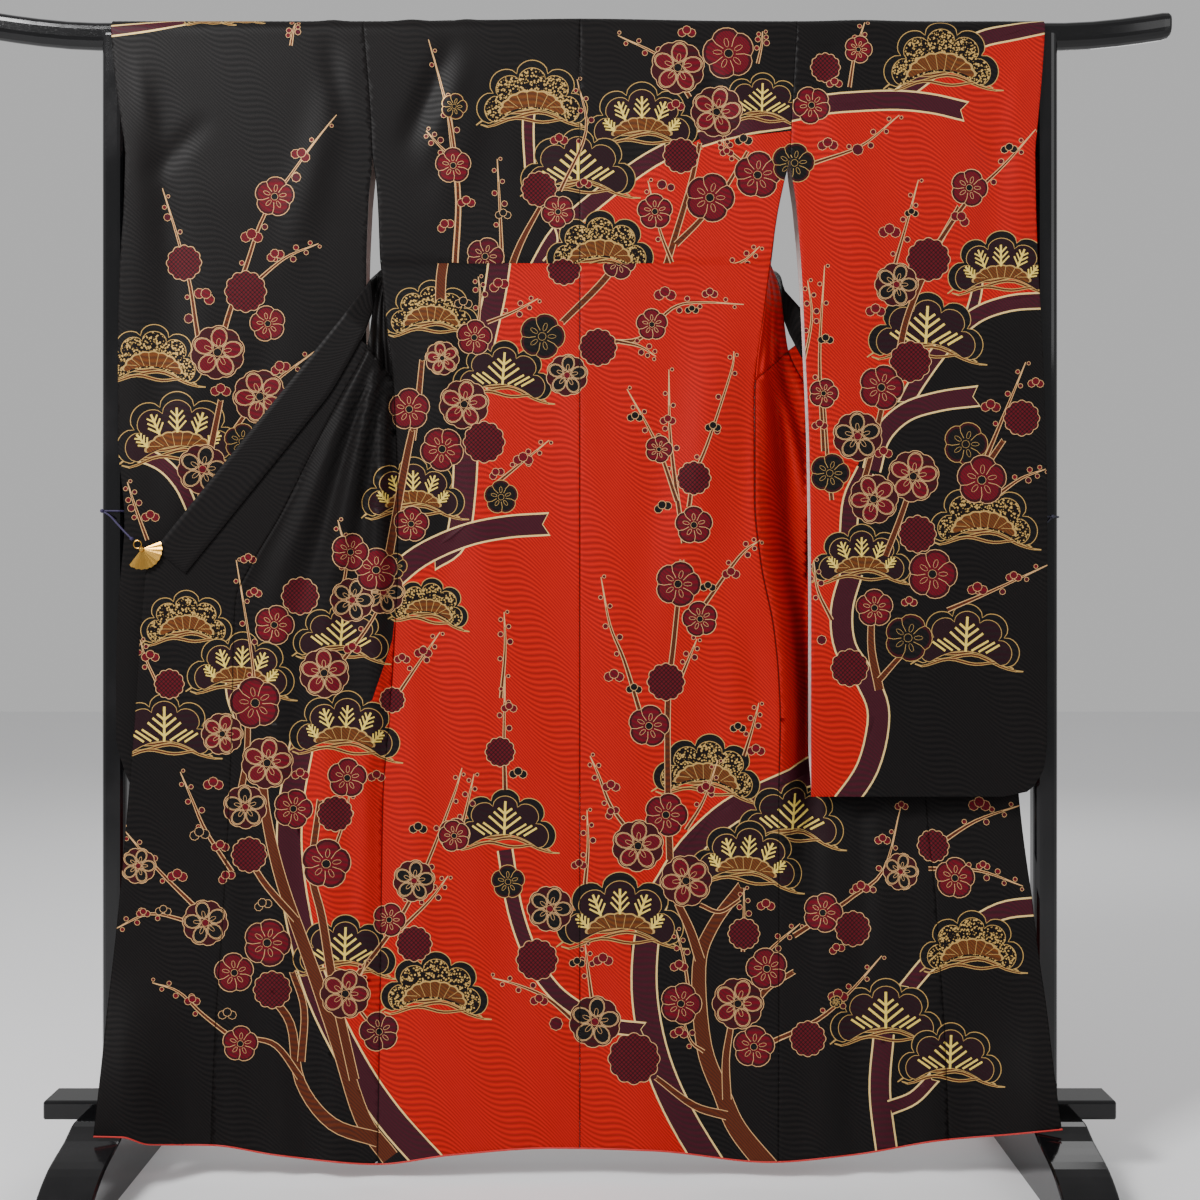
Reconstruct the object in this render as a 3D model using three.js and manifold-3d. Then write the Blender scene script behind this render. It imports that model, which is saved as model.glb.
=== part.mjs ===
// Furisode hung over the bar of a black lacquered stand and seen from its back
// Millimetres, +Z up, +X to the viewer's right, the viewer on the -Y side
// The origin lies on the floor under the centre seam
import * as THREE from "three";
import { mergeVertices } from "three/addons/utils/BufferGeometryUtils.js";
import Module from "manifold-3d";

const wasm = await Module();
wasm.setup();

// Cloth
const CLOTH = 1.6;
const COLLAR = 2.4;
const SEAM_GAP = 0.6;
const SIDE_TURN_GAP = 1;
const SEAT_GAP = 0.3;

// Stand
const BAR_HALF_LENGTH = 841;
const BAR_HEIGHT = 37;
const BAR_DEPTH = 30;
const BAR_ROUND = 13;
const BAR_TOP = 1635;
const TIP_START = 690;
const TIP_RISE = 16;
const UPRIGHT_X = 662;
const UPRIGHT_WIDTH = 34;
const UPRIGHT_DEPTH = 36;
const UPRIGHT_ROUND = 11;
const FORK_TOP = 1617;
const BOARD_HALF_LENGTH = 756;
const BOARD_DEPTH = 63;
const BOARD_BOTTOM = 79;
const BOARD_HEIGHT = 27;
const FOOT_WIDTH = 76;
const FOOT_EDGE = 3;

// The cloth turns over the bar on a half circle, then hangs
const TURN_RADIUS = 20.4;
const RIDGE_Z = BAR_TOP + SEAT_GAP + COLLAR / 2 + 0.2;
const SPRING = RIDGE_Z - TURN_RADIUS;
const RIDGE = SPRING + (TURN_RADIUS * Math.PI) / 2;

// Widths and heights are read on the plane where the cloth hangs
// What hangs nearer to the eye lies on the same line of sight
const EYE_DISTANCE = 2200;
const EYE_X = 28.5;
const EYE_Z = 812;
const HANG_PLANE = -25;

const LEFT = -1;
const RIGHT = 1;

// Heights run along the cloth: above SPRING they are measured round the turn over the bar
// One row for each crosswise line of a body half, from the shoulder to the hem:
// side is its height at the side edge, behind how far that edge hangs behind the bar (1) or in the back's plane (0)
// inX and inZ give its end at the collar or overlap seam, inY that end's depth on the left
const WING = [
  { side: RIDGE, behind: 1, inX: 85, inZ: RIDGE, inY: TURN_RADIUS },
  { side: SPRING, behind: 1, inX: 90, inZ: SPRING, inY: TURN_RADIUS },
  { side: 1550, behind: 1, inX: 116, inZ: 1556, inY: 21 },
  { side: 1490, behind: 1, inX: 146, inZ: 1503, inY: 22 },
  { side: 1440, behind: 0.95, inX: 171, inZ: 1460, inY: 23 },
  { side: 1398, behind: 0.7, inX: 193, inZ: 1424, inY: 23 },
  { side: 1358, behind: 0.35, inX: 215, inZ: 1390, inY: 23 },
  { side: 1323, behind: 0.08, inX: 236, inZ: 1359, inY: 22 },
  { side: 1291, behind: 0, inX: 255, inZ: 1332, inY: 20 },
  { side: 1286, behind: 0, inX: 258, inZ: 1328, inY: 19 },
  { side: 1246, behind: 0, inX: 276, inZ: 1292, inY: 12 },
  { side: 1208, behind: 0, inX: 288, inZ: 1256, inY: -8 },
  { side: 1168, behind: 0, inX: 293, inZ: 1218, inY: -28 },
  { side: 1123, behind: 0, inX: 300, inZ: 1172, inY: -42 },
  { side: 1048, behind: 0, inX: 337, inZ: 1100, inY: -46 },
  { side: 958, behind: 0, inX: 379, inZ: 1020, inY: -46 },
  { side: 868, behind: 0, inX: 423, inZ: 932, inY: -46 },
  { side: 793, behind: 0, inX: 464, inZ: 862, inY: -46 },
  { side: 748, behind: 0, inX: 486, inZ: 812, inY: -46 },
  { side: 690, behind: 0, inX: 489, inZ: 748, inY: -46 },
  { side: 560, behind: 0, inX: 492, inZ: 610, inY: -46 },
  { side: 430, behind: 0, inX: 498, inZ: 470, inY: -46 },
  { side: 300, behind: 0, inX: 506, inZ: 335, inY: -46 },
  { side: 190, behind: 0, inX: 514, inZ: 222, inY: -46 },
  { side: 105, behind: 0, inX: 518, inZ: 133, inY: -46 },
  { side: 20, behind: 0, inX: 521, inZ: 44, inY: -46 },
];
const GAP_ROW = 12;
const POINT_ROW = 13;
const TUCK_ROW = 8;
const LAST_ROW = WING.length - 1;

// Side edge of the back, by height: left and right as drawn, with the armhole seam above 1440
const SIDE_EDGE = [
  { z: 0, left: 286, right: 280 },
  { z: 248, left: 282, right: 281 },
  { z: 530, left: 278, right: 281 },
  { z: 643, left: 269, right: 283 },
  { z: 699, left: 265, right: 281 },
  { z: 770, left: 261, right: 274 },
  { z: 868, left: 257, right: 255 },
  { z: 953, left: 257, right: 247 },
  { z: 1094, left: 262, right: 247 },
  { z: 1223, left: 275, right: 261 },
  { z: 1313, left: 283, right: 273 },
  { z: 1360, left: 285, right: 280 },
  { z: 1403, left: 288, right: 289 },
  { z: 1444, left: 294, right: 298 },
  { z: 1490, left: 296, right: 300 },
  { z: 1648, left: 309, right: 309 },
];

// Outer edge of the overlap from its point down to the hem
const OVERLAP_EDGE = [
  { row: 13, x: 312, z: 1181, rightX: 312 },
  { row: 14, x: 391, z: 1140, rightX: 391 },
  { row: 15, x: 450, z: 1062, rightX: 450 },
  { row: 16, x: 516, z: 980, rightX: 516 },
  { row: 17, x: 577, z: 904, rightX: 577 },
  { row: 18, x: 611, z: 860, rightX: 611 },
  { row: 19, x: 619, z: 790, rightX: 617 },
  { row: 20, x: 629, z: 640, rightX: 625 },
  { row: 21, x: 641, z: 490, rightX: 631 },
  { row: 22, x: 654, z: 350, rightX: 643 },
  { row: 23, x: 667, z: 236, rightX: 659 },
  { row: 24, x: 677, z: 144, rightX: 670 },
  { row: 25, x: 687, z: 55, rightX: 682 },
];

// Hem height by place
const HEM = [
  { x: -687, z: 54 },
  { x: -646, z: 53 },
  { x: -609, z: 43 },
  { x: -523, z: 42 },
  { x: -422, z: 27 },
  { x: -287, z: 15 },
  { x: -182, z: 28 },
  { x: -38, z: 38 },
  { x: 106, z: 34 },
  { x: 268, z: 18 },
  { x: 383, z: 28 },
  { x: 512, z: 49 },
  { x: 617, z: 58 },
  { x: 682, z: 64 },
];

// Free edge of the collar behind the bar and through the armhole gap, by row of the body
const COLLAR_FREE = [
  { row: 0, x: 38, z: 1597, leftY: 21, rightY: 21 },
  { row: 1, x: 44, z: 1586, leftY: 21, rightY: 21 },
  { row: 2, x: 66, z: 1533, leftY: 21, rightY: 21 },
  { row: 3, x: 98, z: 1477, leftY: 22, rightY: 22 },
  { row: 4, x: 125, z: 1432, leftY: 24, rightY: 24 },
  { row: 5, x: 149, z: 1397, leftY: 26, rightY: 26 },
  { row: 6, x: 175, z: 1364, leftY: 30, rightY: 30 },
  { row: 7, x: 201, z: 1336, leftY: 36, rightY: 36 },
  { row: 8, x: 226, z: 1316, leftY: 42, rightY: 42 },
  { row: 9, x: 230, z: 1313, leftY: 43, rightY: 43 },
  { row: 10, x: 266, z: 1300, leftY: 46, rightY: 50 },
  { row: 11, x: 291, z: 1286, leftY: 24, rightY: 52 },
  { row: 12, x: 297, z: 1262, leftY: -27, rightY: 38 },
];
// From the gap to its end the free edge is straight
const COLLAR_FROM = { x: 300, z: 1256 };
const COLLAR_TO = { x: 600, z: 884 };
const COLLAR_WIDTHS = [
  { along: 0.1, width: 37 },
  { along: 0.2, width: 46 },
  { along: 0.35, width: 55 },
  { along: 0.5, width: 55 },
  { along: 0.65, width: 55 },
  { along: 0.82, width: 55 },
  { along: 1, width: 55 },
];

// Sleeves, by height: outer edge at the cuff and below it, and the inner edge below the armhole
const SLEEVE_EDGE = [
  { z: 534, outLeft: 600, outRight: 598, inLeft: 304, inRight: 327 },
  { z: 541, outLeft: 622, outRight: 631, inLeft: 304, inRight: 327 },
  { z: 555, outLeft: 636, outRight: 645, inLeft: 304, inRight: 327 },
  { z: 578, outLeft: 645, outRight: 656, inLeft: 304, inRight: 327 },
  { z: 620, outLeft: 655, outRight: 660, inLeft: 304, inRight: 327 },
  { z: 700, outLeft: 655, outRight: 660, inLeft: 304, inRight: 327 },
  { z: 800, outLeft: 652, outRight: 660, inLeft: 304, inRight: 327 },
  { z: 925, outLeft: 643, outRight: 660, inLeft: 304, inRight: 326 },
  { z: 1040, outLeft: 652, outRight: 658, inLeft: 303, inRight: 324 },
  { z: 1160, outLeft: 652, outRight: 654, inLeft: 302, inRight: 319 },
  { z: 1270, outLeft: 650, outRight: 648, inLeft: 302, inRight: 314 },
  { z: 1370, outLeft: 644, outRight: 644, inLeft: 299, inRight: 306 },
  { z: 1440, outLeft: 642, outRight: 643, inLeft: 294, inRight: 298 },
  { z: 1490, outLeft: 648, outRight: 647, inLeft: 296, inRight: 300 },
  { z: 1550, outLeft: 657, outRight: 653, inLeft: 301, inRight: 304 },
  { z: SPRING, outLeft: 663, outRight: 658, inLeft: 306, inRight: 307 },
  { z: RIDGE, outLeft: 665, outRight: 660, inLeft: 309, inRight: 309 },
];
const CUFF_END = 1440;
const REAR_CUFF_X = 638;
const SLEEVE_BOTTOM = 534;

// Depth of the back's plane by height
const BACK_DEPTH = [
  { z: 0, y: -45 },
  { z: 130, y: -43 },
  { z: 300, y: -36 },
  { z: 800, y: -28 },
  { z: 1286, y: -22.4 },
  { z: 1291, y: -24.2 },
  { z: 1440, y: -21.5 },
  { z: SPRING, y: -TURN_RADIUS },
  { z: 1700, y: -TURN_RADIUS },
];

// Folds across a swung-out front, by row: depth of the three waves
const FRONT_FOLDS = [
  { row: 0, depth: 0 },
  { row: 12, depth: 1.5 },
  { row: 13, depth: 5 },
  { row: 14, depth: 9 },
  { row: 15, depth: 9 },
  { row: 16, depth: 7.5 },
  { row: 17, depth: 6 },
  { row: 19, depth: 4.5 },
  { row: 22, depth: 3.5 },
  { row: 25, depth: 5 },
];

// Soft rises along the top edge where seams and the collar lie under the cloth
const TOP_RISES = [
  { x: 0, rise: 4, half: 150 },
  { x: -352, rise: 2, half: 16 },
  { x: -240, rise: 2.5, half: 20 },
  { x: -162, rise: 2, half: 16 },
  { x: 400, rise: 2, half: 50 },
];

const clamp01 = (t) => Math.min(1, Math.max(0, t));
const mix = (a, b, t) => a + (b - a) * t;
const smooth = (t) => {
  const s = clamp01(t);
  return s * s * (3 - 2 * s);
};

// A column of a table at any key, by a cubic that never overshoots its rows
function along(table, key, column) {
  const rows = [...table].sort((a, b) => a[key] - b[key]);
  const last = rows.length - 1;
  const slope = (i) => (rows[i + 1][column] - rows[i][column]) / (rows[i + 1][key] - rows[i][key]);
  const tangent = (i) => {
    if (i === 0) return slope(0);
    if (i === last) return slope(last - 1);
    const before = slope(i - 1);
    const after = slope(i);
    return before * after <= 0 ? 0 : (2 * before * after) / (before + after);
  };
  return (k) => {
    if (k <= rows[0][key]) return rows[0][column];
    if (k >= rows[last][key]) return rows[last][column];
    let i = 0;
    while (k > rows[i + 1][key]) i += 1;
    const span = rows[i + 1][key] - rows[i][key];
    const t = (k - rows[i][key]) / span;
    const a = rows[i][column];
    const b = rows[i + 1][column];
    const ease = t * t * (3 - 2 * t);
    return a + (b - a) * ease + span * t * (1 - t) * ((1 - t) * tangent(i) - t * tangent(i + 1));
  };
}

const wingRows = WING.map((row, index) => ({ ...row, row: index }));
const byRow = (table, column) => along(table, "row", column);
const sideHeight = byRow(wingRows, "side");
const sideBehind = byRow(wingRows, "behind");
const innerX = byRow(wingRows, "inX");
const innerZ = byRow(wingRows, "inZ");
const innerY = byRow(wingRows, "inY");
const overlapX = { [LEFT]: byRow(OVERLAP_EDGE, "x"), [RIGHT]: byRow(OVERLAP_EDGE, "rightX") };
const overlapZ = byRow(OVERLAP_EDGE, "z");
const foldDepth = byRow(FRONT_FOLDS, "depth");
const sideEdge = { [LEFT]: along(SIDE_EDGE, "z", "left"), [RIGHT]: along(SIDE_EDGE, "z", "right") };
const hemHeight = along(HEM, "x", "z");
const backDepth = along(BACK_DEPTH, "z", "y");
const sleeveOut = { [LEFT]: along(SLEEVE_EDGE, "z", "outLeft"), [RIGHT]: along(SLEEVE_EDGE, "z", "outRight") };
const sleeveIn = { [LEFT]: along(SLEEVE_EDGE, "z", "inLeft"), [RIGHT]: along(SLEEVE_EDGE, "z", "inRight") };

function topRise(x) {
  return TOP_RISES.reduce((sum, bump) => sum + bump.rise * Math.exp(-(((x - bump.x) / bump.half) ** 2)), 0);
}

// A point of the cloth from its place across, its height along the cloth and its depth
function drape(x, height, y) {
  if (height > SPRING) {
    const turn = (height - SPRING) / TURN_RADIUS;
    const lift = (TURN_RADIUS + topRise(x)) * Math.sin(turn);
    return new THREE.Vector3(x, Math.sign(y) * TURN_RADIUS * Math.cos(turn), SPRING + lift);
  }
  const scale = (EYE_DISTANCE + Math.min(y, HANG_PLANE)) / (EYE_DISTANCE + HANG_PLANE);
  return new THREE.Vector3(EYE_X + (x - EYE_X) * scale, y, EYE_Z + (height - EYE_Z) * scale);
}

// Soft upright waves of the back, deeper towards the hem
function backWave(x, z) {
  const depth = mix(6, 0, clamp01((z - 20) / 1200));
  return depth * (0.6 * Math.cos(x / 41 + 0.8) + 0.4 * Math.cos(x / 27 - 1.1 + z / 400));
}

function backY(x, z) {
  return backDepth(z) + backWave(x, z);
}

// Depth of a swung-out front: before the left sleeve, behind the right one, and forward over the feet at the hem
function wingDepth(side, x, z) {
  const out = Math.abs(x);
  const corner = smooth((out - 540) / 110) * smooth((330 - z) / 270);
  if (side === LEFT) return -45 - 67 * corner;
  return mix(22, -44, smooth((640 - z) / 380)) - 54 * corner;
}

function wingWave(x, z) {
  return mix(5, 0, clamp01((z - 20) / 500)) * Math.cos(Math.abs(x) / 33);
}

// A closed wall of even thickness round a grid of points
function wall(grid, thickness) {
  const rows = grid.length;
  const columns = grid[0].length;
  const at = (r, c) => grid[Math.min(rows - 1, Math.max(0, r))][Math.min(columns - 1, Math.max(0, c))];
  const unit = (r0, c0, r1, c1) => at(r1, c1).clone().sub(at(r0, c0)).normalize();
  const positions = [];
  for (const sign of [1, -1]) {
    for (let r = 0; r < rows; r += 1) {
      for (let c = 0; c < columns; c += 1) {
        const down = unit(r - 1, c, r + 1, c);
        const before = unit(r, c - 1, r, c);
        const after = unit(r, c, r, c + 1);
        const across = before.clone().add(after).normalize();
        const bend = Math.max(0.45, across.dot(before.lengthSq() > 0 ? before : after));
        const normal = down.cross(across).normalize();
        const point = at(r, c).clone().addScaledVector(normal, (sign * thickness) / 2 / bend);
        positions.push(point.x, point.y, point.z);
      }
    }
  }
  const index = [];
  const layer = rows * columns;
  const quad = (a, b, c, d) => index.push(a, b, c, a, c, d);
  for (let r = 0; r < rows - 1; r += 1) {
    for (let c = 0; c < columns - 1; c += 1) {
      const a = r * columns + c;
      quad(a, a + columns, a + columns + 1, a + 1);
      quad(layer + a, layer + a + 1, layer + a + columns + 1, layer + a + columns);
    }
  }
  const rim = [];
  for (let c = 0; c < columns - 1; c += 1) rim.push(c);
  for (let r = 0; r < rows - 1; r += 1) rim.push(r * columns + columns - 1);
  for (let c = columns - 1; c > 0; c -= 1) rim.push((rows - 1) * columns + c);
  for (let r = rows - 1; r > 0; r -= 1) rim.push(r * columns);
  rim.forEach((a, i) => {
    const b = rim[(i + 1) % rim.length];
    quad(a, b, layer + b, layer + a);
  });
  return facingOut(positions, index);
}

// A closed solid through rings of equal size, capped at both ends or closed on itself
function loft(rings, closed = false) {
  const count = rings[0].length;
  const positions = rings.flat().flatMap((p) => [p.x, p.y, p.z]);
  const index = [];
  const spans = closed ? rings.length : rings.length - 1;
  for (let r = 0; r < spans; r += 1) {
    const next = ((r + 1) % rings.length) * count;
    for (let i = 0; i < count; i += 1) {
      const j = (i + 1) % count;
      index.push(r * count + i, r * count + j, next + j, r * count + i, next + j, next + i);
    }
  }
  if (!closed) {
    const end = (rings.length - 1) * count;
    for (let i = 1; i < count - 1; i += 1) {
      index.push(0, i + 1, i);
      index.push(end, end + i, end + i + 1);
    }
  }
  return facingOut(positions, index);
}

// The geometry with its faces turned outwards, whichever way its points were listed
function facingOut(positions, index) {
  const corner = (i) => new THREE.Vector3(positions[3 * i], positions[3 * i + 1], positions[3 * i + 2]);
  let volume = 0;
  for (let i = 0; i < index.length; i += 3) {
    const a = corner(index[i]);
    const b = corner(index[i + 1]);
    const c = corner(index[i + 2]);
    volume += a.dot(b.cross(c));
  }
  if (volume < 0) {
    for (let i = 0; i < index.length; i += 3) [index[i + 1], index[i + 2]] = [index[i + 2], index[i + 1]];
  }
  const geometry = new THREE.BufferGeometry();
  geometry.setAttribute("position", new THREE.Float32BufferAttribute(positions, 3));
  geometry.setIndex(index);
  return geometry;
}

function solidOf(geometry) {
  const mesh = new wasm.Mesh({
    numProp: 3,
    vertProperties: new Float32Array(geometry.attributes.position.array),
    triVerts: new Uint32Array(geometry.index.array),
  });
  return new wasm.Manifold(mesh);
}

function geometryOf(solid) {
  const mesh = solid.getMesh();
  const geometry = new THREE.BufferGeometry();
  geometry.setAttribute("position", new THREE.Float32BufferAttribute(mesh.vertProperties, 3));
  geometry.setIndex([...mesh.triVerts]);
  return geometry;
}

const group = new THREE.Group();
const MATERIALS = {
  cloth: { color: 0x1b1a1c, roughness: 0.45, metalness: 0 },
  red: { color: 0xb8321c, roughness: 0.45, metalness: 0 },
  lacquer: { color: 0x0a0a0b, roughness: 0.12, metalness: 0 },
  gilt: { color: 0xb8862e, roughness: 0.3, metalness: 1 },
  purple: { color: 0x3a2a6e, roughness: 0.6, metalness: 0 },
  navy: { color: 0x1a2038, roughness: 0.6, metalness: 0 },
};

function add(name, geometry, kind) {
  const mesh = new THREE.Mesh(geometry, new THREE.MeshStandardMaterial(MATERIALS[kind]));
  mesh.name = name;
  group.add(mesh);
}

const rowSteps = [0, 1 / 3, 2 / 3];
for (let row = 1; row <= LAST_ROW; row += 1) rowSteps.push(row);
const BODY_COLUMNS = 8;
const FRONT_COLUMNS = 15;
const OVERLAP_COLUMNS = 4;

const seamEdge = (side, z) => side * sideEdge[side](z);
const hemBlend = (row) => clamp01((row - LAST_ROW + 2) / 2);

// Heights of a row across the back, the last ones following the hem
function backHeight(row, x) {
  const level = sideHeight(row);
  return level + (hemHeight(x) - level) * smooth(hemBlend(row)) * (row > LAST_ROW - 1 ? 1 : 0);
}

function backPanel(side) {
  return rowSteps.map((row) => {
    const line = [];
    for (let c = 0; c <= BODY_COLUMNS; c += 1) {
      const outer = seamEdge(side, sideHeight(row)) - (side * SEAM_GAP) / 2;
      const x = mix((side * SEAM_GAP) / 2, outer, c / BODY_COLUMNS);
      const height = backHeight(row, x);
      const point = drape(x, height, backY(x, height));
      if (row === 0) point.y -= SEAM_GAP / 2;
      line.push(point);
    }
    return line;
  });
}

// Beside the armhole a front ends short of the sleeve's seam
// Below it the front starts outside the back's edge, wider where it turns sharply away
const sideGap = (side, row) => {
  const turn = smooth((row - 4) / 3) * (1 - smooth((row - (side === LEFT ? 13 : 19)) / 2));
  return mix(-SEAM_GAP / 2, SEAM_GAP / 2, smooth((row - 4) / 3)) + SIDE_TURN_GAP * turn;
};

// Depth of a front at its side edge: behind the bar at the top, in the back's plane from the end of the opening
function sideDepth(side, row) {
  const z = sideHeight(row);
  const x = seamEdge(side, z);
  return mix(backY(x, z), TURN_RADIUS, sideBehind(row));
}

function innerDepth(side, row) {
  if (side === LEFT) return row > POINT_ROW ? wingDepth(side, innerX(row), innerZ(row)) : innerY(row);
  if (row < POINT_ROW) return Math.max(innerY(row), Math.min(22, TURN_RADIUS + row / 6));
  return wingDepth(side, innerX(row), innerZ(row));
}

function frontPoint(side, row, share) {
  const startZ = row > LAST_ROW - 1 ? hemHeight(seamEdge(side, 20)) : sideHeight(row);
  const startX = seamEdge(side, startZ) + side * sideGap(side, row);
  const endX = side * (innerX(row) - (row < POINT_ROW ? 0 : SEAM_GAP / 2));
  const x = mix(startX, endX, share);
  const level = mix(startZ, innerZ(row), share);
  const height = row > LAST_ROW - 1 ? hemHeight(x) : level;
  const startY = sideDepth(side, row);
  const straight = mix(startY, innerDepth(side, row), share);
  const ramp = smooth(Math.abs(x - startX) / (side === LEFT ? 30 : 46));
  const swung = mix(startY, wingDepth(side, x, height), ramp);
  const open = smooth(row - GAP_ROW);
  const fold = foldDepth(row) * Math.sin(2 * Math.PI * (3 * share + 0.08 * row)) * Math.sin(Math.PI * share) ** 0.7;
  const y = mix(straight, swung, open) + fold + wingWave(x, height) * Math.sin(Math.PI * share);
  return { x, height, y };
}

function frontPanel(side) {
  return rowSteps.map((row) => {
    const line = [];
    for (let c = 0; c <= FRONT_COLUMNS; c += 1) {
      const place = frontPoint(side, row, c / FRONT_COLUMNS);
      const point = drape(place.x, place.height, place.y);
      if (row === 0) point.y += SEAM_GAP / 2;
      line.push(point);
    }
    return line;
  });
}

function overlapPoint(side, row, share) {
  const x = side * mix(innerX(row) + SEAM_GAP / 2, overlapX[side](row), share);
  const height = row > LAST_ROW - 1 ? hemHeight(x) : mix(innerZ(row), overlapZ(row), share);
  const start = mix(frontPoint(side, row, 1).y, wingDepth(side, x, height), smooth(share * 3));
  return { x, height, y: start + wingWave(x, height) * smooth(share * 2) };
}

function overlapPanel(side) {
  const line = (row) => {
    const points = [];
    for (let c = 0; c <= OVERLAP_COLUMNS; c += 1) {
      const place = overlapPoint(side, row, c / OVERLAP_COLUMNS);
      points.push(drape(place.x, place.height, place.y));
    }
    return points;
  };
  return rowSteps.filter((row) => row >= POINT_ROW).map(line);
}

// The collar lies on the overlap, moved out by both half thicknesses and a seat gap
const COLLAR_LIFT = (CLOTH + COLLAR) / 2 + SEAT_GAP;
const COLLAR_COLUMNS = 4;

function collarHalf(side) {
  const freeY = byRow(COLLAR_FREE, side === LEFT ? "leftY" : "rightY");
  const freeX = byRow(COLLAR_FREE, "x");
  const freeZ = byRow(COLLAR_FREE, "z");
  const lines = [];
  for (const row of rowSteps.filter((step) => step <= GAP_ROW)) {
    const sewn = frontPoint(side, row, 1);
    const free = { x: side * freeX(row), height: freeZ(row), y: freeY(row) };
    const length = Math.hypot(free.x - sewn.x, free.height - sewn.height, free.y - sewn.y);
    const line = [];
    for (let c = 0; c <= COLLAR_COLUMNS; c += 1) {
      const share = mix((SEAM_GAP + (row < 10 ? 0.8 : 1.6)) / length, 1, c / COLLAR_COLUMNS);
      const x = mix(sewn.x, free.x, share);
      const height = mix(sewn.height, free.height, share);
      const point = drape(x, height, mix(sewn.y, free.y, share));
      if (row === 0) point.y += SEAM_GAP / 2 + 0.4;
      line.push(point);
    }
    lines.push(line);
  }
  const dx = COLLAR_TO.x - COLLAR_FROM.x;
  const dz = COLLAR_TO.z - COLLAR_FROM.z;
  const length = Math.hypot(dx, dz);
  for (const station of COLLAR_WIDTHS) {
    const line = [];
    for (let c = 0; c <= COLLAR_COLUMNS; c += 1) {
      const inset = station.width * (1 - c / COLLAR_COLUMNS);
      const x = side * (COLLAR_FROM.x + dx * station.along + (dz / length) * inset);
      const z = COLLAR_FROM.z + dz * station.along - (dx / length) * inset;
      const y = wingDepth(side, x, z) - COLLAR_LIFT;
      line.push(drape(x, z, y));
    }
    lines.push(line);
  }
  return lines;
}

function collarStrip() {
  const left = collarHalf(LEFT);
  const right = collarHalf(RIGHT);
  return [...left.reverse(), neckLine(), ...right];
}

// The middle of the collar, over the bar and down behind it at the centre back
function neckLine() {
  const points = [];
  for (let c = 0; c <= COLLAR_COLUMNS; c += 1) {
    const height = mix(RIDGE, RIDGE - 55, c / COLLAR_COLUMNS);
    const point = drape(0, height, TURN_RADIUS);
    if (c === 0) point.y += SEAM_GAP / 2 + 0.4;
    points.push(point);
  }
  return points;
}

const SLEEVE_LEVELS = [534, 541, 555, 578, 620, 700, 800, 925, 1040, 1160, 1270, 1370];
const SLEEVE_COLUMNS = 9;
const SLEEVE_FRONT_EDGE = -26.5;
const SLEEVE_SEAM = CLOTH + SEAT_GAP;

function sleeveFrontDepth(side, x, z) {
  const out = Math.abs(x);
  const atBar = backDepth(z) - 0.4 * smooth((SPRING - z) / 60);
  const hang = mix(-22.5, atBar, smooth((z - 1340) / 100));
  const edge = smooth((out - 585) / 50) * smooth((SPRING - z) / 200);
  return mix(hang, SLEEVE_FRONT_EDGE, edge);
}

function sleeveRearDepth(side, x, z) {
  const out = Math.abs(x);
  const hollow = mix(8, TURN_RADIUS, smooth((z - 1150) / 290));
  const seam = sleeveFrontDepth(side, x, z) + SLEEVE_SEAM;
  const atEdge = smooth((out - 598) / 34) * smooth((CUFF_END + 50 - z) / 50);
  const atBottom = smooth((SLEEVE_BOTTOM + 70 - z) / 64);
  return mix(hollow, seam, Math.max(atEdge, atBottom));
}

function sleeve(side) {
  const heights = [...SLEEVE_LEVELS, ...rowSteps.filter((row) => row <= 4).map(sideHeight).reverse()];
  const line = (z, rear) => {
    const points = [];
    const inner = z >= CUFF_END ? sideEdge[side](z) : sleeveIn[side](z);
    const cuff = smooth((z - CUFF_END) / 30);
    const outer = rear ? Math.min(sleeveOut[side](z), mix(700, REAR_CUFF_X, cuff)) : sleeveOut[side](z);
    for (let c = 0; c <= SLEEVE_COLUMNS; c += 1) {
      const share = Math.sin((Math.PI / 2) * (c / SLEEVE_COLUMNS));
      const x = side * mix(inner + SEAM_GAP / 2, outer, share);
      points.push(drape(x, z, rear ? sleeveRearDepth(side, x, z) : sleeveFrontDepth(side, x, z)));
    }
    return points;
  };
  const front = heights.map((z) => line(z, false));
  const rear = heights.slice(0, -1).map((z) => line(z, true)).reverse();
  return [...front, ...rear];
}

add("back_left", wall(backPanel(LEFT), CLOTH), "cloth");
add("back_right", wall(backPanel(RIGHT), CLOTH), "red");
add("front_left", wall(frontPanel(LEFT), CLOTH), "cloth");
add("front_right", wall(frontPanel(RIGHT), CLOTH), "cloth");
add("okumi_left", wall(overlapPanel(LEFT), CLOTH), "cloth");
add("okumi_right", wall(overlapPanel(RIGHT), CLOTH), "cloth");
add("collar", wall(collarStrip(), COLLAR), "cloth");
add("sleeve_left", wall(sleeve(LEFT), CLOTH), "cloth");
add("sleeve_right", wall(sleeve(RIGHT), CLOTH), "red");

// A rectangle with rounded corners, as a list of points
function roundedLoop(halfWidth, halfHeight, radius, perCorner) {
  const points = [];
  const corners = [[1, 1, 0], [-1, 1, 1], [-1, -1, 2], [1, -1, 3]];
  for (const [sx, sy, quarter] of corners) {
    for (let i = 0; i <= perCorner; i += 1) {
      const angle = (quarter + i / perCorner) * (Math.PI / 2);
      points.push({
        u: sx * (halfWidth - radius) + radius * Math.cos(angle),
        v: sy * (halfHeight - radius) + radius * Math.sin(angle),
      });
    }
  }
  return points;
}

const barRise = (x) => TIP_RISE * Math.max(0, (Math.abs(x) - TIP_START) / (BAR_HALF_LENGTH - TIP_START)) ** 1.6;
const BAR_STATIONS = [
  { x: 0, size: 1 },
  { x: 640, size: 1 },
  { x: 690, size: 1 },
  { x: 730, size: 1 },
  { x: 770, size: 1 },
  { x: 805, size: 1 },
  { x: 830, size: 1 },
  { x: 838, size: 0.94 },
  { x: 841, size: 0.82 },
];

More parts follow.
